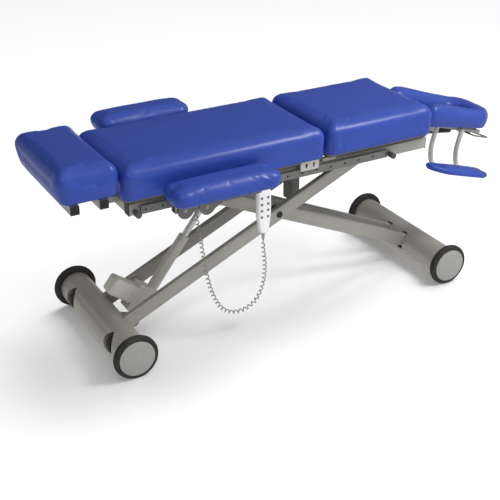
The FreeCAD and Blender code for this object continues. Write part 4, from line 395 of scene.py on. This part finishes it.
MATERIALS = {
    "cushion_vinyl": cushion_vinyl(),
    "frame_paint": metal_paint(),
    "steel_tube": brushed_tube(),
    "plated_steel": plated_steel(),
    "chrome_rod": chrome_rod(),
    "tyre_rubber": tyre_rubber(),
    "silver_caps": silver_cap(),
    "black_plastic": black_plastic(),
    "black_paint": black_paint(),
    "motor_plastic": motor_plastic(),
    "box_plastic": box_plastic(),
    "handset_plastic": handset_plastic(),
    "key_plastic": key_plastic(),
    "cord_rubber": cord_rubber(),
    "board_wood": board_wood(),
    "bright_steel": bright_steel(),
    "knob_plastic": knob_plastic(),
}
# Nodes whose finish in the photograph is another than their slot's
OTHER_LOOK = {
    "actuator_tube": "bright_steel",
    "hinge_plates": "bright_steel",
    "rail_knobs": "knob_plastic",
    "strain_relief": "cord_rubber",
}


def dress_nodes():
    """Every CAD node gets its slot's material, or the other look listed for it."""
    for item in frame["record"]["subparts"]:
        node = NODES[item["node"]]
        node.data.materials.clear()
        look = OTHER_LOOK.get(item["node"], item["material_slot"])
        node.data.materials.append(MATERIALS[look])


def smooth(piece, angle):
    """Smooth shading, with sharp edges kept above an angle."""
    for face in piece.data.polygons:
        face.use_smooth = True
    piece.data.set_sharp_from_angle(angle=math.radians(angle))


def new_piece(name, data, slot, body):
    piece = bpy.data.objects.new(name, data)
    scene.collection.objects.link(piece)
    data.materials.clear()
    data.materials.append(MATERIALS[slot])
    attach(piece, body)
    return piece


# Cushions: rings round a rounded outline, remeshed, crowned and puffed up


def quarter_turn(steps):
    """Sine and cosine at even steps from 0 to 90 degrees."""
    for step in range(steps + 1):
        angle = math.radians(90 * step / steps)
        yield math.sin(angle), math.cos(angle)


def ring(corners, inset, height):
    """Points round an outline of corners (x, y, radius), each side moved inwards by an inset."""
    count = len(corners)
    points = []
    for index in range(count):
        before = Vector(corners[index - 1][:2])
        here = Vector(corners[index][:2])
        after = Vector(corners[(index + 1) % count][:2])
        first = (here - before).normalized()
        second = (after - here).normalized()
        normal_a = Vector((-first.y, first.x))
        normal_b = Vector((-second.y, second.x))
        apex = here + (normal_a + normal_b) * (inset / (1 + normal_a.dot(normal_b)))
        left_turn = first.x * second.y - first.y * second.x > 0
        radius = corners[index][2]
        radius = max(radius - inset, radius / 4) if left_turn else radius + inset
        turn = first.angle(second)
        middle = apex + (second - first).normalized() * (radius / math.cos(turn / 2))
        start = apex - first * radius * math.tan(turn / 2) - middle
        for step in range(ARC_STEPS + 1):
            angle = turn * step / ARC_STEPS * (1 if left_turn else -1)
            spoke = Matrix.Rotation(angle, 2) @ start
            points.append(middle + spoke)
    closed = []
    for index, point in enumerate(points):
        following = points[(index + 1) % len(points)]
        closed.append((point.x, point.y, height))
        is_side = index % (ARC_STEPS + 1) == ARC_STEPS
        side = corners[index // (ARC_STEPS + 1)]
        ahead = corners[(index // (ARC_STEPS + 1) + 1) % count]
        run = math.hypot(side[0] - ahead[0], side[1] - ahead[1])
        cuts = int(run / SIDE_GAP) if is_side else 0
        for cut in range(1, cuts):
            between = point.lerp(following, cut / cuts)
            closed.append((between.x, between.y, height))
    return closed


def stacked(name, corners, levels):
    """A closed mesh through rings, one for each (inset, height), with flat ends."""
    mesh = bpy.data.meshes.new(name)
    form = bmesh.new()
    rings = []
    for inset, height in levels:
        rings.append([form.verts.new(point) for point in ring(corners, inset, height)])
    count = len(rings[0])
    for low, high in zip(rings, rings[1:]):
        for index in range(count):
            after = (index + 1) % count
            form.faces.new((low[index], low[after], high[after], high[index]))
    form.faces.new(list(reversed(rings[0])))
    form.faces.new(rings[-1])
    bmesh.ops.recalc_face_normals(form, faces=form.faces)
    form.to_mesh(mesh)
    form.free()
    return mesh


def pad_levels(bottom, top, rounding, under, draw):
    """Insets and heights of a pad's side: rounded foot, drawn-in side, rounded shoulder."""
    levels = []
    for sine, cosine in quarter_turn(PAD_STEPS):
        levels.append((under * (1 - sine) + draw, bottom + under * (1 - cosine)))
    levels.append((draw * PAD_WAIST[0], bottom + (top - bottom) * PAD_WAIST[1]))
    levels.append((0.0, bottom + (top - bottom) * PAD_WIDEST))
    for sine, cosine in quarter_turn(PAD_STEPS):
        levels.append((rounding * (1 - cosine), top - rounding * (1 - sine)))
    return levels


def outline_distance(points, corners):
    """Distance of each point from the outline, in plan."""
    edge = np.array(ring(corners, 0.0, 0.0))[:, :2]
    following = np.roll(edge, -1, axis=0)
    best = np.full(len(points), 1e9)
    for start, end in zip(edge, following):
        along = end - start
        share = np.clip(((points - start) @ along) / max(along @ along, 1e-12), 0, 1)
        best = np.minimum(best, np.linalg.norm(points - (start + share[:, None] * along), axis=1))
    return best


def coordinates(mesh):
    flat = np.empty(len(mesh.vertices) * 3)
    mesh.vertices.foreach_get("co", flat)
    return flat.reshape(-1, 3)


def put_coordinates(mesh, values):
    mesh.vertices.foreach_set("co", values.ravel())
    mesh.update()


def applied(piece):
    """The piece's mesh with its modifiers applied, and the modifiers taken off."""
    graph = bpy.context.evaluated_depsgraph_get()
    mesh = bpy.data.meshes.new_from_object(piece.evaluated_get(graph))
    piece.modifiers.clear()
    piece.data = mesh
    return mesh


def even_skin(piece, voxel, smooth_steps):
    remesh = piece.modifiers.new("Skin", "REMESH")
    remesh.mode = "VOXEL"
    remesh.voxel_size = voxel
    smooth = piece.modifiers.new("Smooth", "SMOOTH")
    smooth.factor = 0.5
    smooth.iterations = smooth_steps
    return applied(piece)


def crown_top(mesh, corners, bottom, top, crown, reach):
    """Raises the upper face from the outline towards the middle."""
    values = coordinates(mesh)
    inside = outline_distance(values[:, :2], corners)
    lift = np.clip((values[:, 2] - bottom) / (top - bottom), 0, 1) ** 2
    rise = np.clip(inside / reach, 0, 1)
    values[:, 2] += crown * lift * rise * (2 - rise)
    put_coordinates(mesh, values)


def puff(piece, bottom):
    """Blows the pad up a little as cloth under pressure, its foot held, each move capped."""
    mesh = piece.data
    before = coordinates(mesh)
    held = piece.vertex_groups.new(name="held")
    feet = [index for index in range(len(before)) if before[index, 2] < bottom + UNDER_ROUND / 2]
    held.add(feet, 1.0, "REPLACE")
    cloth = piece.modifiers.new("Cloth", "CLOTH")
    cloth.settings.use_pressure = True
    cloth.settings.uniform_pressure_force = PUFF_PRESSURE
    cloth.settings.effector_weights.gravity = 0
    cloth.settings.vertex_group_mass = "held"
    cloth.settings.quality = PUFF_QUALITY
    cloth.settings.tension_stiffness = PUFF_STIFFNESS
    cloth.settings.compression_stiffness = PUFF_STIFFNESS
    cloth.point_cache.frame_start = 1
    cloth.point_cache.frame_end = PUFF_STEPS
    for step in range(1, PUFF_STEPS + 1):
        scene.frame_set(step)
    puffed = applied(piece)
    after = coordinates(puffed)
    move = after - before
    length = np.linalg.norm(move, axis=1)
    scale = np.minimum(1.0, PUFF_CAP / np.maximum(length, 1e-9))
    put_coordinates(puffed, before + move * scale[:, None])
    piece.vertex_groups.clear()
    scene.frame_set(1)


def cushion(name, node, body, corners, bottom, top, rounding, crown, reach, under=UNDER_ROUND,
            place=None, voxel=VOXEL, shape=None):
    """A padded piece in place of a CAD cushion."""
    mesh = stacked(name, corners, pad_levels(bottom, top - crown, rounding, under, SIDE_DRAW))
    piece = bpy.data.objects.new(name, mesh)
    scene.collection.objects.link(piece)
    even_skin(piece, voxel, 4)
    crown_top(piece.data, corners, bottom, top - crown, crown, reach)
    if shape:
        shape(piece.data)
    puff(piece, bottom)
    if place:
        piece.data.transform(place)
    round_off = piece.modifiers.new("Round", "SUBSURF")
    round_off.levels = 1
    round_off.render_levels = 1
    for face in piece.data.polygons:
        face.use_smooth = True
    piece.data.materials.clear()
    piece.data.materials.append(MATERIALS["cushion_vinyl"])
    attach(piece, body)
    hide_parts(node)


def rectangle(low, high, corner, shrink):
    x0, y0 = low[0] + shrink, low[1] + shrink
    x1, y1 = high[0] - shrink, high[1] - shrink
    return [(x0, y0, corner), (x1, y0, corner), (x1, y1, corner), (x0, y1, corner)]


def draw_in_foot(mesh):
    """Slopes the free end of the foot cushion inwards towards its foot."""
    values = coordinates(mesh)
    low, high = values.min(axis=0), values.max(axis=0)
    down = 1 - np.clip((values[:, 2] - low[2]) / (high[2] - low[2]) / FOOT_DRAW_HEIGHT, 0, 1)
    near = np.clip(1 - (values[:, 0] - low[0]) / FOOT_DRAW_RUN, 0, 1)
    values[:, 0] += FOOT_DRAW * down * near
    put_coordinates(mesh, values)


BED_PADS = [
    ("foot_cushion", "foot_section", 0.008, 0.004, 0.015),
    ("middle_cushion", "bed_frame", 0.004, 0.006, 0.007),
    ("thoracic_cushion", "thoracic_section", 0.006, 0.011, 0.007),
]


def bed_cushions():
    """Each pad stands proud of its solid by the growth given at its left end, right end and foot."""
    for node, body, left, right, foot in BED_PADS:
        low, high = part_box(node)
        grown = (low[0] - left, low[1] - BED_GROWTH), (high[0] + right, high[1] + BED_GROWTH)
        corners = rectangle(*grown, BED_CORNER, 0.0)
        shape = draw_in_foot if node == "foot_cushion" else None
        cushion(node + "_soft", node, body, corners, low[2] - foot, high[2] + BED_RISE, BED_ROUND,
                BED_CROWN, BED_REACH, shape=shape)


ARM_CORNER = 0.050
ARM_GROWTH = 0.002
ARM_ROUND = 0.030
ARM_CROWN = 0.004
ARM_REACH = 0.06
ARM_UNDER = 0.016
ARM_VOXEL = 0.006


def armrest_pads():
    for word in ("front", "rear"):
        low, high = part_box("armrest_pad_" + word)
        corners = rectangle(low, high, ARM_CORNER, -ARM_GROWTH)
        cushion("armrest_soft_" + word, "armrest_pad_" + word, "armrest_" + word, corners, low[2], high[2],
                ARM_ROUND, ARM_CROWN, ARM_REACH, under=ARM_UNDER, voxel=ARM_VOXEL)


# Head section, in its own frame: along the slope from the pad's near end, across and up.
# The drop is the lift of the pad's underside at its near and far ends.
HEAD_TILT = 16.5
HEAD_PLACE = (0.783, 0.798)
HEAD_NEAR = 0.038
HEAD_LENGTH = 0.436
HEAD_THICKNESS = 0.079
HEAD_RISE = 0.002
HEAD_ROUND = 0.029
HEAD_CROWN = 0.004
HEAD_REACH = 0.05
HEAD_UNDER = 0.008
HEAD_VOXEL = 0.006
HEAD_DROP = (-0.017, 0.004)
HEAD_RIM = 0.020
RIM_MIDDLE = 0.6
RIM_START, RIM_RUN = 0.066, 0.085
FAR_START, FAR_RUN = 0.25, 0.10
HORN_START, HORN_RUN, HORN_DROP = 0.033, 0.08, 0.014
END_START, END_RUN, END_SHIFT = 0.28, 0.10, 0.018
HEAD_HALF = [(-HEAD_NEAR, -0.178, 0.034), (0.330, -0.138, 0.065), (0.396, -0.072, 0.030)]
HEAD_SLOT = [(-HEAD_NEAR, 0.094, 0.042), (0.300, 0.064, 0.058)]


def head_frame():
    """From the head section's own frame (along, across, up) to the row frame."""
    turn = Matrix.Rotation(math.radians(HEAD_TILT), 4, "Y")
    return Matrix.Translation((LIFT_X + HEAD_PLACE[0], 0, HEAD_PLACE[1])) @ turn


def head_corners():
    """The pad's outline, with the slot for the face open at the near end."""
    points = list(HEAD_HALF)
    points += [(x, -y, r) for x, y, r in reversed(HEAD_HALF)]
    points += HEAD_SLOT
    points += [(x, -y, r) for x, y, r in reversed(HEAD_SLOT)]
    return points


def shape_head(mesh):
    """Lets the face fall to the opening and the near ends, and stands the far end upright."""
    values = coordinates(mesh)
    across = np.abs(values[:, 1])
    share = np.clip((values[:, 2] + HEAD_THICKNESS) / HEAD_THICKNESS, 0, 1)
    along = np.clip((values[:, 0] + HEAD_NEAR) / HEAD_LENGTH, 0, 1)
    values[:, 2] += (1 - share) * (HEAD_DROP[0] + (HEAD_DROP[1] - HEAD_DROP[0]) * along)
    past = np.clip((across - RIM_START) / RIM_RUN, 0, 1)
    far = np.clip((values[:, 0] - FAR_START) / FAR_RUN, 0, 1)
    ease = np.maximum(past, far)
    ease = ease * ease * (3 - 2 * ease)
    horn = np.clip(1 - (values[:, 0] + HORN_START) / HORN_RUN, 0, 1) ** 2
    values[:, 2] += share ** 2 * (HEAD_RIM * (ease - RIM_MIDDLE) - HORN_DROP * horn)
    end = np.clip((values[:, 0] - END_START) / END_RUN, 0, 1)
    values[:, 0] += (1 - share) * END_SHIFT * end
    put_coordinates(mesh, values)


def head_pad():
    cushion("head_soft", "head_cushion", "head_section", head_corners(), -HEAD_THICKNESS, HEAD_RISE,
            HEAD_ROUND, HEAD_CROWN, HEAD_REACH, under=HEAD_UNDER, place=head_frame(), voxel=HEAD_VOXEL,
            shape=shape_head)


FOREARM_TOP = -0.245
FOREARM_THICKNESS = 0.028
FOREARM_ROUND = 0.012
FOREARM_CROWN = 0.003
FOREARM_REACH = 0.04
FOREARM_VOXEL = 0.0045
FOREARM_OUTLINE = [
    (-0.003, -0.230, 0.035),
    (0.060, -0.2835, 0.110),
    (0.328, -0.2835, 0.045),
    (0.328, -0.1765, 0.030),
    (-0.003, -0.1765, 0.030),
]


def forearm_pads():
    for side, word in ((1, "front"), (-1, "rear")):
        corners = [(x, y * side, r) for x, y, r in FOREARM_OUTLINE]
        if side < 0:
            corners.reverse()
        cushion("forearm_soft_" + word, "forearm_pads", "head_section", corners,
                FOREARM_TOP - FOREARM_THICKNESS, FOREARM_TOP, FOREARM_ROUND, FOREARM_CROWN, FOREARM_REACH,
                under=HEAD_UNDER, place=head_frame(), voxel=FOREARM_VOXEL)


# Curves


def smooth_curve(name, points):
    """A curve of one NURBS spline through the control points given."""
    data = bpy.data.curves.new(name, "CURVE")
    data.dimensions = "3D"
    spline = data.splines.new("NURBS")
    spline.points.add(len(points) - 1)
    for point, place in zip(spline.points, points):
        point.co = (*place, 1.0)
    spline.order_u = 3
    spline.use_endpoint_u = True
    spline.resolution_u = 8
    return data


def as_mesh(data):
    """The curve's shape as a mesh."""
    holder = bpy.data.objects.new("line", data)
    scene.collection.objects.link(holder)
    graph = bpy.context.evaluated_depsgraph_get()
    mesh = bpy.data.meshes.new_from_object(holder.evaluated_get(graph))
    bpy.data.objects.remove(holder)
    return mesh


def read_line(data):
    """The points that a curve with no bevel runs through, and their running lengths."""
    mesh = as_mesh(data)
    points = [vertex.co.copy() for vertex in mesh.vertices]
    bpy.data.meshes.remove(mesh)
    lengths = [0.0]
    for before, after in zip(points, points[1:]):
        lengths.append(lengths[-1] + (after - before).length)
    return points, lengths


# The bent tubes that carry the forearm pads


def tube(name, points, radius, slot, body, node):
    """A round bar along a smooth line led by points, in place of a CAD node."""
    data = smooth_curve(name, points)
    data.bevel_depth = radius
    data.bevel_resolution = 5
    data.use_fill_caps = True
    piece = new_piece(name, as_mesh(data), slot, body)
    smooth(piece, ROUND_SHARP)
    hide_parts(node)
    return piece


FOREARM_TUBE = [
    (812, -130, 694),
    (806, -130, 672),
    (793, -130, 632),
    (786, -130, 598),
    (785, -131, 566),
    (787, -133, 541),
    (789, -142, 520),
    (790, -178, 514),
]
FOREARM_TUBE_STEP = (148, 0, -44)
FOREARM_TUBE_RADIUS = 0.011


def forearm_tubes():
    dx, _, dz = FOREARM_TUBE_STEP
    for side, word in ((1, "front"), (-1, "rear")):
        for step in (0, 1):
            points = []
            for x, y, z in FOREARM_TUBE:
                points.append(((x + dx * step) * MM + LIFT_X, y * side * MM, (z + dz * step) * MM))
            piece = tube("forearm_tube_%s_%d" % (word, step), points, FOREARM_TUBE_RADIUS, "plated_steel",
                         "head_section", "forearm_tubes")
            piece.data.materials[0] = MATERIALS["bright_steel"]


# CAD nodes with some of their corners moved, where the photograph shows less of them


def altered(name, node, slot, body, change, place=None):
    """A copy of a node's mesh in the node's place, its corners moved by a change."""
    mesh = NODES[node].data.copy()
    if place:
        mesh.transform(place.inverted())
    values = coordinates(mesh)
    change(values)
    put_coordinates(mesh, values)
    if place:
        mesh.transform(place)
    piece = new_piece(name, mesh, slot, body)
    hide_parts(node)
    return piece


HEAD_BOARD_SHARE = 0.90
HEAD_BOARD_INNER = 0.075


def draw_in_head_board(values):
    middle = (values.min(axis=0) + values.max(axis=0)) / 2
    values[:, 0] = middle[0] + (values[:, 0] - middle[0]) * HEAD_BOARD_SHARE
    outer = np.abs(values[:, 1]) > HEAD_BOARD_INNER
    values[outer, 1] *= HEAD_BOARD_SHARE


BAR_ACROSS = (0.088, 0.116)
BAR_START = -0.02
BAR_LOW, BAR_RAISED = -0.104, -0.103


def flatten_head_bars(values):
    """Raises the underside of the side bars, which the photograph doesn't show."""
    across = np.abs(values[:, 1])
    bar = (across > BAR_ACROSS[0]) & (across < BAR_ACROSS[1])
    bar &= (values[:, 2] < BAR_LOW) & (values[:, 0] > BAR_START)
    values[bar, 2] = BAR_RAISED


def draw_in_foot_board(values):
    """Shortens the foot board under the cushion's sloping end."""
    values[:, 0] = np.maximum(values[:, 0], values[:, 0].min() + FOOT_BOARD_IN)


PLUG_GAP = 0.0005
SLIDE_END = LIFT_X - 0.80
CROSS_FOOT = 0.7139


def end_at_plugs(values):
    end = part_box("foot_plugs")[0][0] + PLUG_GAP
    values[:, 0] = np.maximum(values[:, 0], end)


def cut_slides(mesh):
    """Takes off the slide tubes beyond an end, below the cross tubes, and closes the cuts."""
    form = bmesh.new()
    form.from_mesh(mesh)
    bmesh.ops.bisect_plane(form, geom=form.verts[:] + form.edges[:] + form.faces[:],
                           plane_co=(SLIDE_END, 0, 0), plane_no=(1, 0, 0))
    beyond = [face for face in form.faces
              if face.calc_center_median().x < SLIDE_END and face.calc_center_median().z < CROSS_FOOT]
    bmesh.ops.delete(form, geom=beyond, context="FACES")
    bmesh.ops.holes_fill(form, edges=[edge for edge in form.edges if edge.is_boundary], sides=0)
    form.to_mesh(mesh)
    form.free()


def altered_nodes():
    altered("head_underboard", "head_board", "board_wood", "head_section", draw_in_head_board, head_frame())
    altered("head_bars", "head_rails", "frame_paint", "head_section", flatten_head_bars, head_frame())
    altered("foot_underboard", "foot_board", "board_wood", "foot_section", draw_in_foot_board)
    rails = altered("foot_rails", "foot_frame", "frame_paint", "foot_section", end_at_plugs)
    cut_slides(rails.data)


# The motor's cover: a rounded block for the motor and a box for its gears


MOTOR_PIVOT = (-0.6494, 0.0551)
MOTOR_TILT = 52.47
MOTOR_STEPS = 4
# Name, low and high corner (along the actuator, across it), half depth, corner and edge radius
MOTOR_BLOCKS = [
    ("motor_cover", (0.066, 0.048), (0.144, 0.193), 0.034, 0.015, 0.009),
    ("gear_cover", (0.037, -0.026), (0.161, 0.074), 0.037, 0.007, 0.004),
    ("cover_band", (0.063, 0.088), (0.147, 0.094), 0.036, 0.003, 0.002),
]


def motor_cover():
    """Rounded blocks round the CAD housing, square to the actuator."""
    turn = Matrix.Translation((LIFT_X + MOTOR_PIVOT[0], 0, MOTOR_PIVOT[1]))
    turn = turn @ Matrix.Rotation(math.radians(90), 4, "X")
    turn = turn @ Matrix.Rotation(math.radians(MOTOR_TILT), 4, "Z")
    for name, low, high, half, corner, edge in MOTOR_BLOCKS:
        levels = []
        for sine, cosine in quarter_turn(MOTOR_STEPS):
            levels.append((edge * (1 - sine), -half + edge * (1 - cosine)))
        levels += [(inset, -height) for inset, height in reversed(levels)]
        mesh = stacked(name, rectangle(low, high, corner, 0.0), levels)
        mesh.transform(turn)
        piece = new_piece(name, mesh, "motor_plastic", "actuator")
        smooth(piece, ROUND_SHARP)


# The handset


HANDSET_TOP = 0.639
HANDSET_FOOT = 0.449
HANDSET_MIDDLE = LIFT_X - 0.152
HANDSET_FRONT = -0.256
HANDSET_DEPTH = 0.027
HANDSET_HALF, HANDSET_HALF_FOOT = 0.031, 0.020
HANDSET_WIDENS = 0.085
HANDSET_ROUND, HANDSET_WAIST_ROUND, HANDSET_FOOT_ROUND = 0.009, 0.09, 0.017
HANDSET_SHARP = 35


def handset():
    """A slim case, rounded all round, that narrows to a round foot."""
    waist = HANDSET_FOOT + HANDSET_WIDENS
    right = [
        (HANDSET_HALF_FOOT, HANDSET_FOOT, HANDSET_FOOT_ROUND),
        (HANDSET_HALF, waist, HANDSET_WAIST_ROUND),
        (HANDSET_HALF, HANDSET_TOP, HANDSET_ROUND),
    ]
    left = [(-x, y, radius) for x, y, radius in reversed(right)]
    depth = HANDSET_DEPTH
    back = [(0.006, 0.0), (0.002, 0.002), (0.0, 0.006)]
    face = [(0.0, depth - 0.008), (0.0015, depth - 0.003), (0.004, depth - 0.0006), (0.007, depth)]
    mesh = stacked("handset", left[-1:] + right + left[:-1], back + face)
    upright = ((1, 0, 0, HANDSET_MIDDLE), (0, 0, -1, HANDSET_FRONT + depth), (0, 1, 0, 0), (0, 0, 0, 1))
    mesh.transform(Matrix(upright))
    piece = new_piece("handset_case", mesh, "handset_plastic", "bed_frame")
    smooth(piece, HANDSET_SHARP)
    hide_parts("handset_shell")


# The curly cord


def at_length(points, lengths, distance):
    """Place and heading at a distance along the line."""
    index = 1
    while index < len(lengths) - 1 and lengths[index] < distance:
        index += 1
    run = lengths[index] - lengths[index - 1]
    share = (distance - lengths[index - 1]) / run
    heading = (points[index] - points[index - 1]).normalized()
    return points[index - 1].lerp(points[index], share), heading


def curls(points, lengths):
    """Points of the curls round the line, on a frame that is carried along it."""
    total = lengths[-1]
    lead = CORD_WIRE * 2
    count = CORD_CURLS * CORD_STEPS
    side = points[1] - points[0]
    side = side.cross(Vector((0, 1, 0))).normalized()
    wound = [points[0].copy()]
    for index in range(count + 1):
        share = index / count
        place, heading = at_length(points, lengths, lead + (total - lead * 2) * share)
        side = (side - heading * side.dot(heading)).normalized()
        across = heading.cross(side)
        turn = 2 * math.pi * CORD_CURLS * share
        ramp = min(1.0, index / CORD_STEPS, (count - index) / CORD_STEPS)
        reach = CORD_COIL * ramp * ramp * (3 - 2 * ramp)
        wound.append(place + side * reach * math.cos(turn) + across * reach * math.sin(turn))
    wound.append(points[-1].copy())
    return wound


def curly_cord():
    route = [Vector(((x + LIFT_X / MM) * MM, y * MM, z * MM)) for x, y, z in CORD_ROUTE]
    points, lengths = read_line(smooth_curve("route", route))
    wound = curls(points, lengths)
    data = smooth_curve("curls", wound)
    data.splines[0].resolution_u = 3
    _, wire_lengths = read_line(data.copy())
    data.bevel_depth = CORD_WIRE
    data.bevel_resolution = 3
    data.use_fill_caps = True
    cord = new_piece("curly_cord", data, "cord_rubber", "bed_frame")
    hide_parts("handset_cord")


# Camera, floor and light


def camera():
    turn, rise = math.radians(CAMERA_TURN), math.radians(CAMERA_RISE)
    back = Vector((math.sin(turn) * math.cos(rise), -math.cos(turn) * math.cos(rise), math.sin(rise)))
    data = bpy.data.cameras.new("camera")
    data.lens = CAMERA_LENS
    data.sensor_width = 36.0
    data.sensor_fit = "HORIZONTAL"
    data.shift_y = CAMERA_SHIFT
    data.clip_end = 100.0
    eye = bpy.data.objects.new("camera", data)
    eye.location = CAMERA_PLACE
    eye.rotation_euler = back.to_track_quat("Z", "Y").to_euler()
    scene.collection.objects.link(eye)
    scene.camera = eye


def floor():
    """A pale floor that shows white to the camera and keeps its shadows."""
    mesh = bpy.data.meshes.new("floor")
    corners = [(-1, -1), (1, -1), (1, 1), (-1, 1)]
    mesh.from_pydata([(x * FLOOR_HALF, y * FLOOR_HALF, 0) for x, y in corners], [], [(0, 1, 2, 3)])
    plane = bpy.data.objects.new("floor", mesh)
    scene.collection.objects.link(plane)
    shade = Shade("floor", FLOOR_COLOUR, FLOOR_ROUGH)
    shade.set(level=FLOOR_LEVEL)
    glow = shade.add("ShaderNodeEmission")
    glow.inputs["Color"].default_value = (1.0, 1.0, 1.0, 1.0)
    path = shade.add("ShaderNodeLightPath")
    gain = shade.add("ShaderNodeMath", operation="MULTIPLY")
    gain.inputs[1].default_value = FLOOR_GLOW
    shade.link(path.outputs["Is Camera Ray"], gain.inputs[0])
    shade.link(gain.outputs[0], glow.inputs["Strength"])
    both = shade.add("ShaderNodeAddShader")
    shade.link(shade.shader.outputs[0], both.inputs[0])
    shade.link(glow.outputs[0], both.inputs[1])
    mirrored = shade.add("ShaderNodeEmission")
    mirrored.inputs["Strength"].default_value = FLOOR_IN_GLOSS
    choice = shade.add("ShaderNodeMixShader")
    shade.link(path.outputs["Is Glossy Ray"], choice.inputs[0])
    shade.link(both.outputs[0], choice.inputs[1])
    shade.link(mirrored.outputs[0], choice.inputs[2])
    shade.link(choice.outputs[0], shade.tree.nodes["Material Output"].inputs["Surface"])
    mesh.materials.append(shade.material)
    sun = bpy.data.lights.new("floor_sun", "SUN")
    sun.energy = FLOOR_SUN
    sun.angle = math.radians(FLOOR_SUN_SPREAD)
    holder = bpy.data.objects.new("floor_sun", sun)
    holder.rotation_euler = Vector(FLOOR_SUN_WAY).to_track_quat("Z", "Y").to_euler()
    scene.collection.objects.link(holder)
    lit = bpy.data.collections.new("floor_only")
    lit.objects.link(plane)
    holder.light_linking.receiver_collection = lit


def world():
    """White to the camera. As light it is brightest from the front right and dim from behind."""
    sky = bpy.data.worlds.new("studio")
    sky.use_nodes = True
    scene.world = sky
    tree = sky.node_tree
    way = tree.nodes.new("ShaderNodeTexCoord")
    facing = tree.nodes.new("ShaderNodeVectorMath")
    facing.operation = "DOT_PRODUCT"
    facing.inputs[1].default_value = KEY_WAY
    tree.links.new(way.outputs["Generated"], facing.inputs[0])
    glow = tree.nodes.new("ShaderNodeMapRange")
    glow.inputs["From Min"].default_value = SKY_FROM
    glow.inputs["From Max"].default_value = 1.0
    glow.inputs["To Min"].default_value = SKY_DIM
    glow.inputs["To Max"].default_value = SKY_BRIGHT
    tree.links.new(facing.outputs["Value"], glow.inputs["Value"])
    path = tree.nodes.new("ShaderNodeLightPath")
    seen = tree.nodes.new("ShaderNodeMix")
    seen.inputs["B"].default_value = 1.0
    tree.links.new(path.outputs["Is Camera Ray"], seen.inputs["Factor"])
    tree.links.new(glow.outputs["Result"], seen.inputs["A"])
    background = tree.nodes["Background"]
    background.inputs["Color"].default_value = (1.0, 1.0, 1.0, 1.0)
    tree.links.new(seen.outputs["Result"], background.inputs["Strength"])


def lamp(name, way, reach, size, power, target=(0.0, 0.0, 0.7)):
    """A soft box that stands some way off in a direction and faces its target."""
    data = bpy.data.lights.new(name, "AREA")
    data.shape = "RECTANGLE"
    data.size, data.size_y = size
    data.energy = power
    holder = bpy.data.objects.new(name, data)
    back = Vector(way).normalized()
    holder.location = Vector(target) + back * reach
    holder.rotation_euler = back.to_track_quat("Z", "Y").to_euler()
    scene.collection.objects.link(holder)


def lights():
    lamp("key", KEY_WAY, 3.0, (1.0, 1.0), 52, (0.15, 0.0, 0.7))
    lamp("glint", (-0.50, -0.62, 0.60), 3.8, (0.4, 0.4), 9)
    lamp("rim", (-0.80, 0.60, 0.20), 3.6, (2.0, 0.3), 2)


dress_nodes()
camera()
floor()
world()
lights()
curly_cord()
bed_cushions()
armrest_pads()
head_pad()
forearm_pads()
forearm_tubes()
altered_nodes()
motor_cover()
handset()

scene.view_settings.view_transform = "Standard"
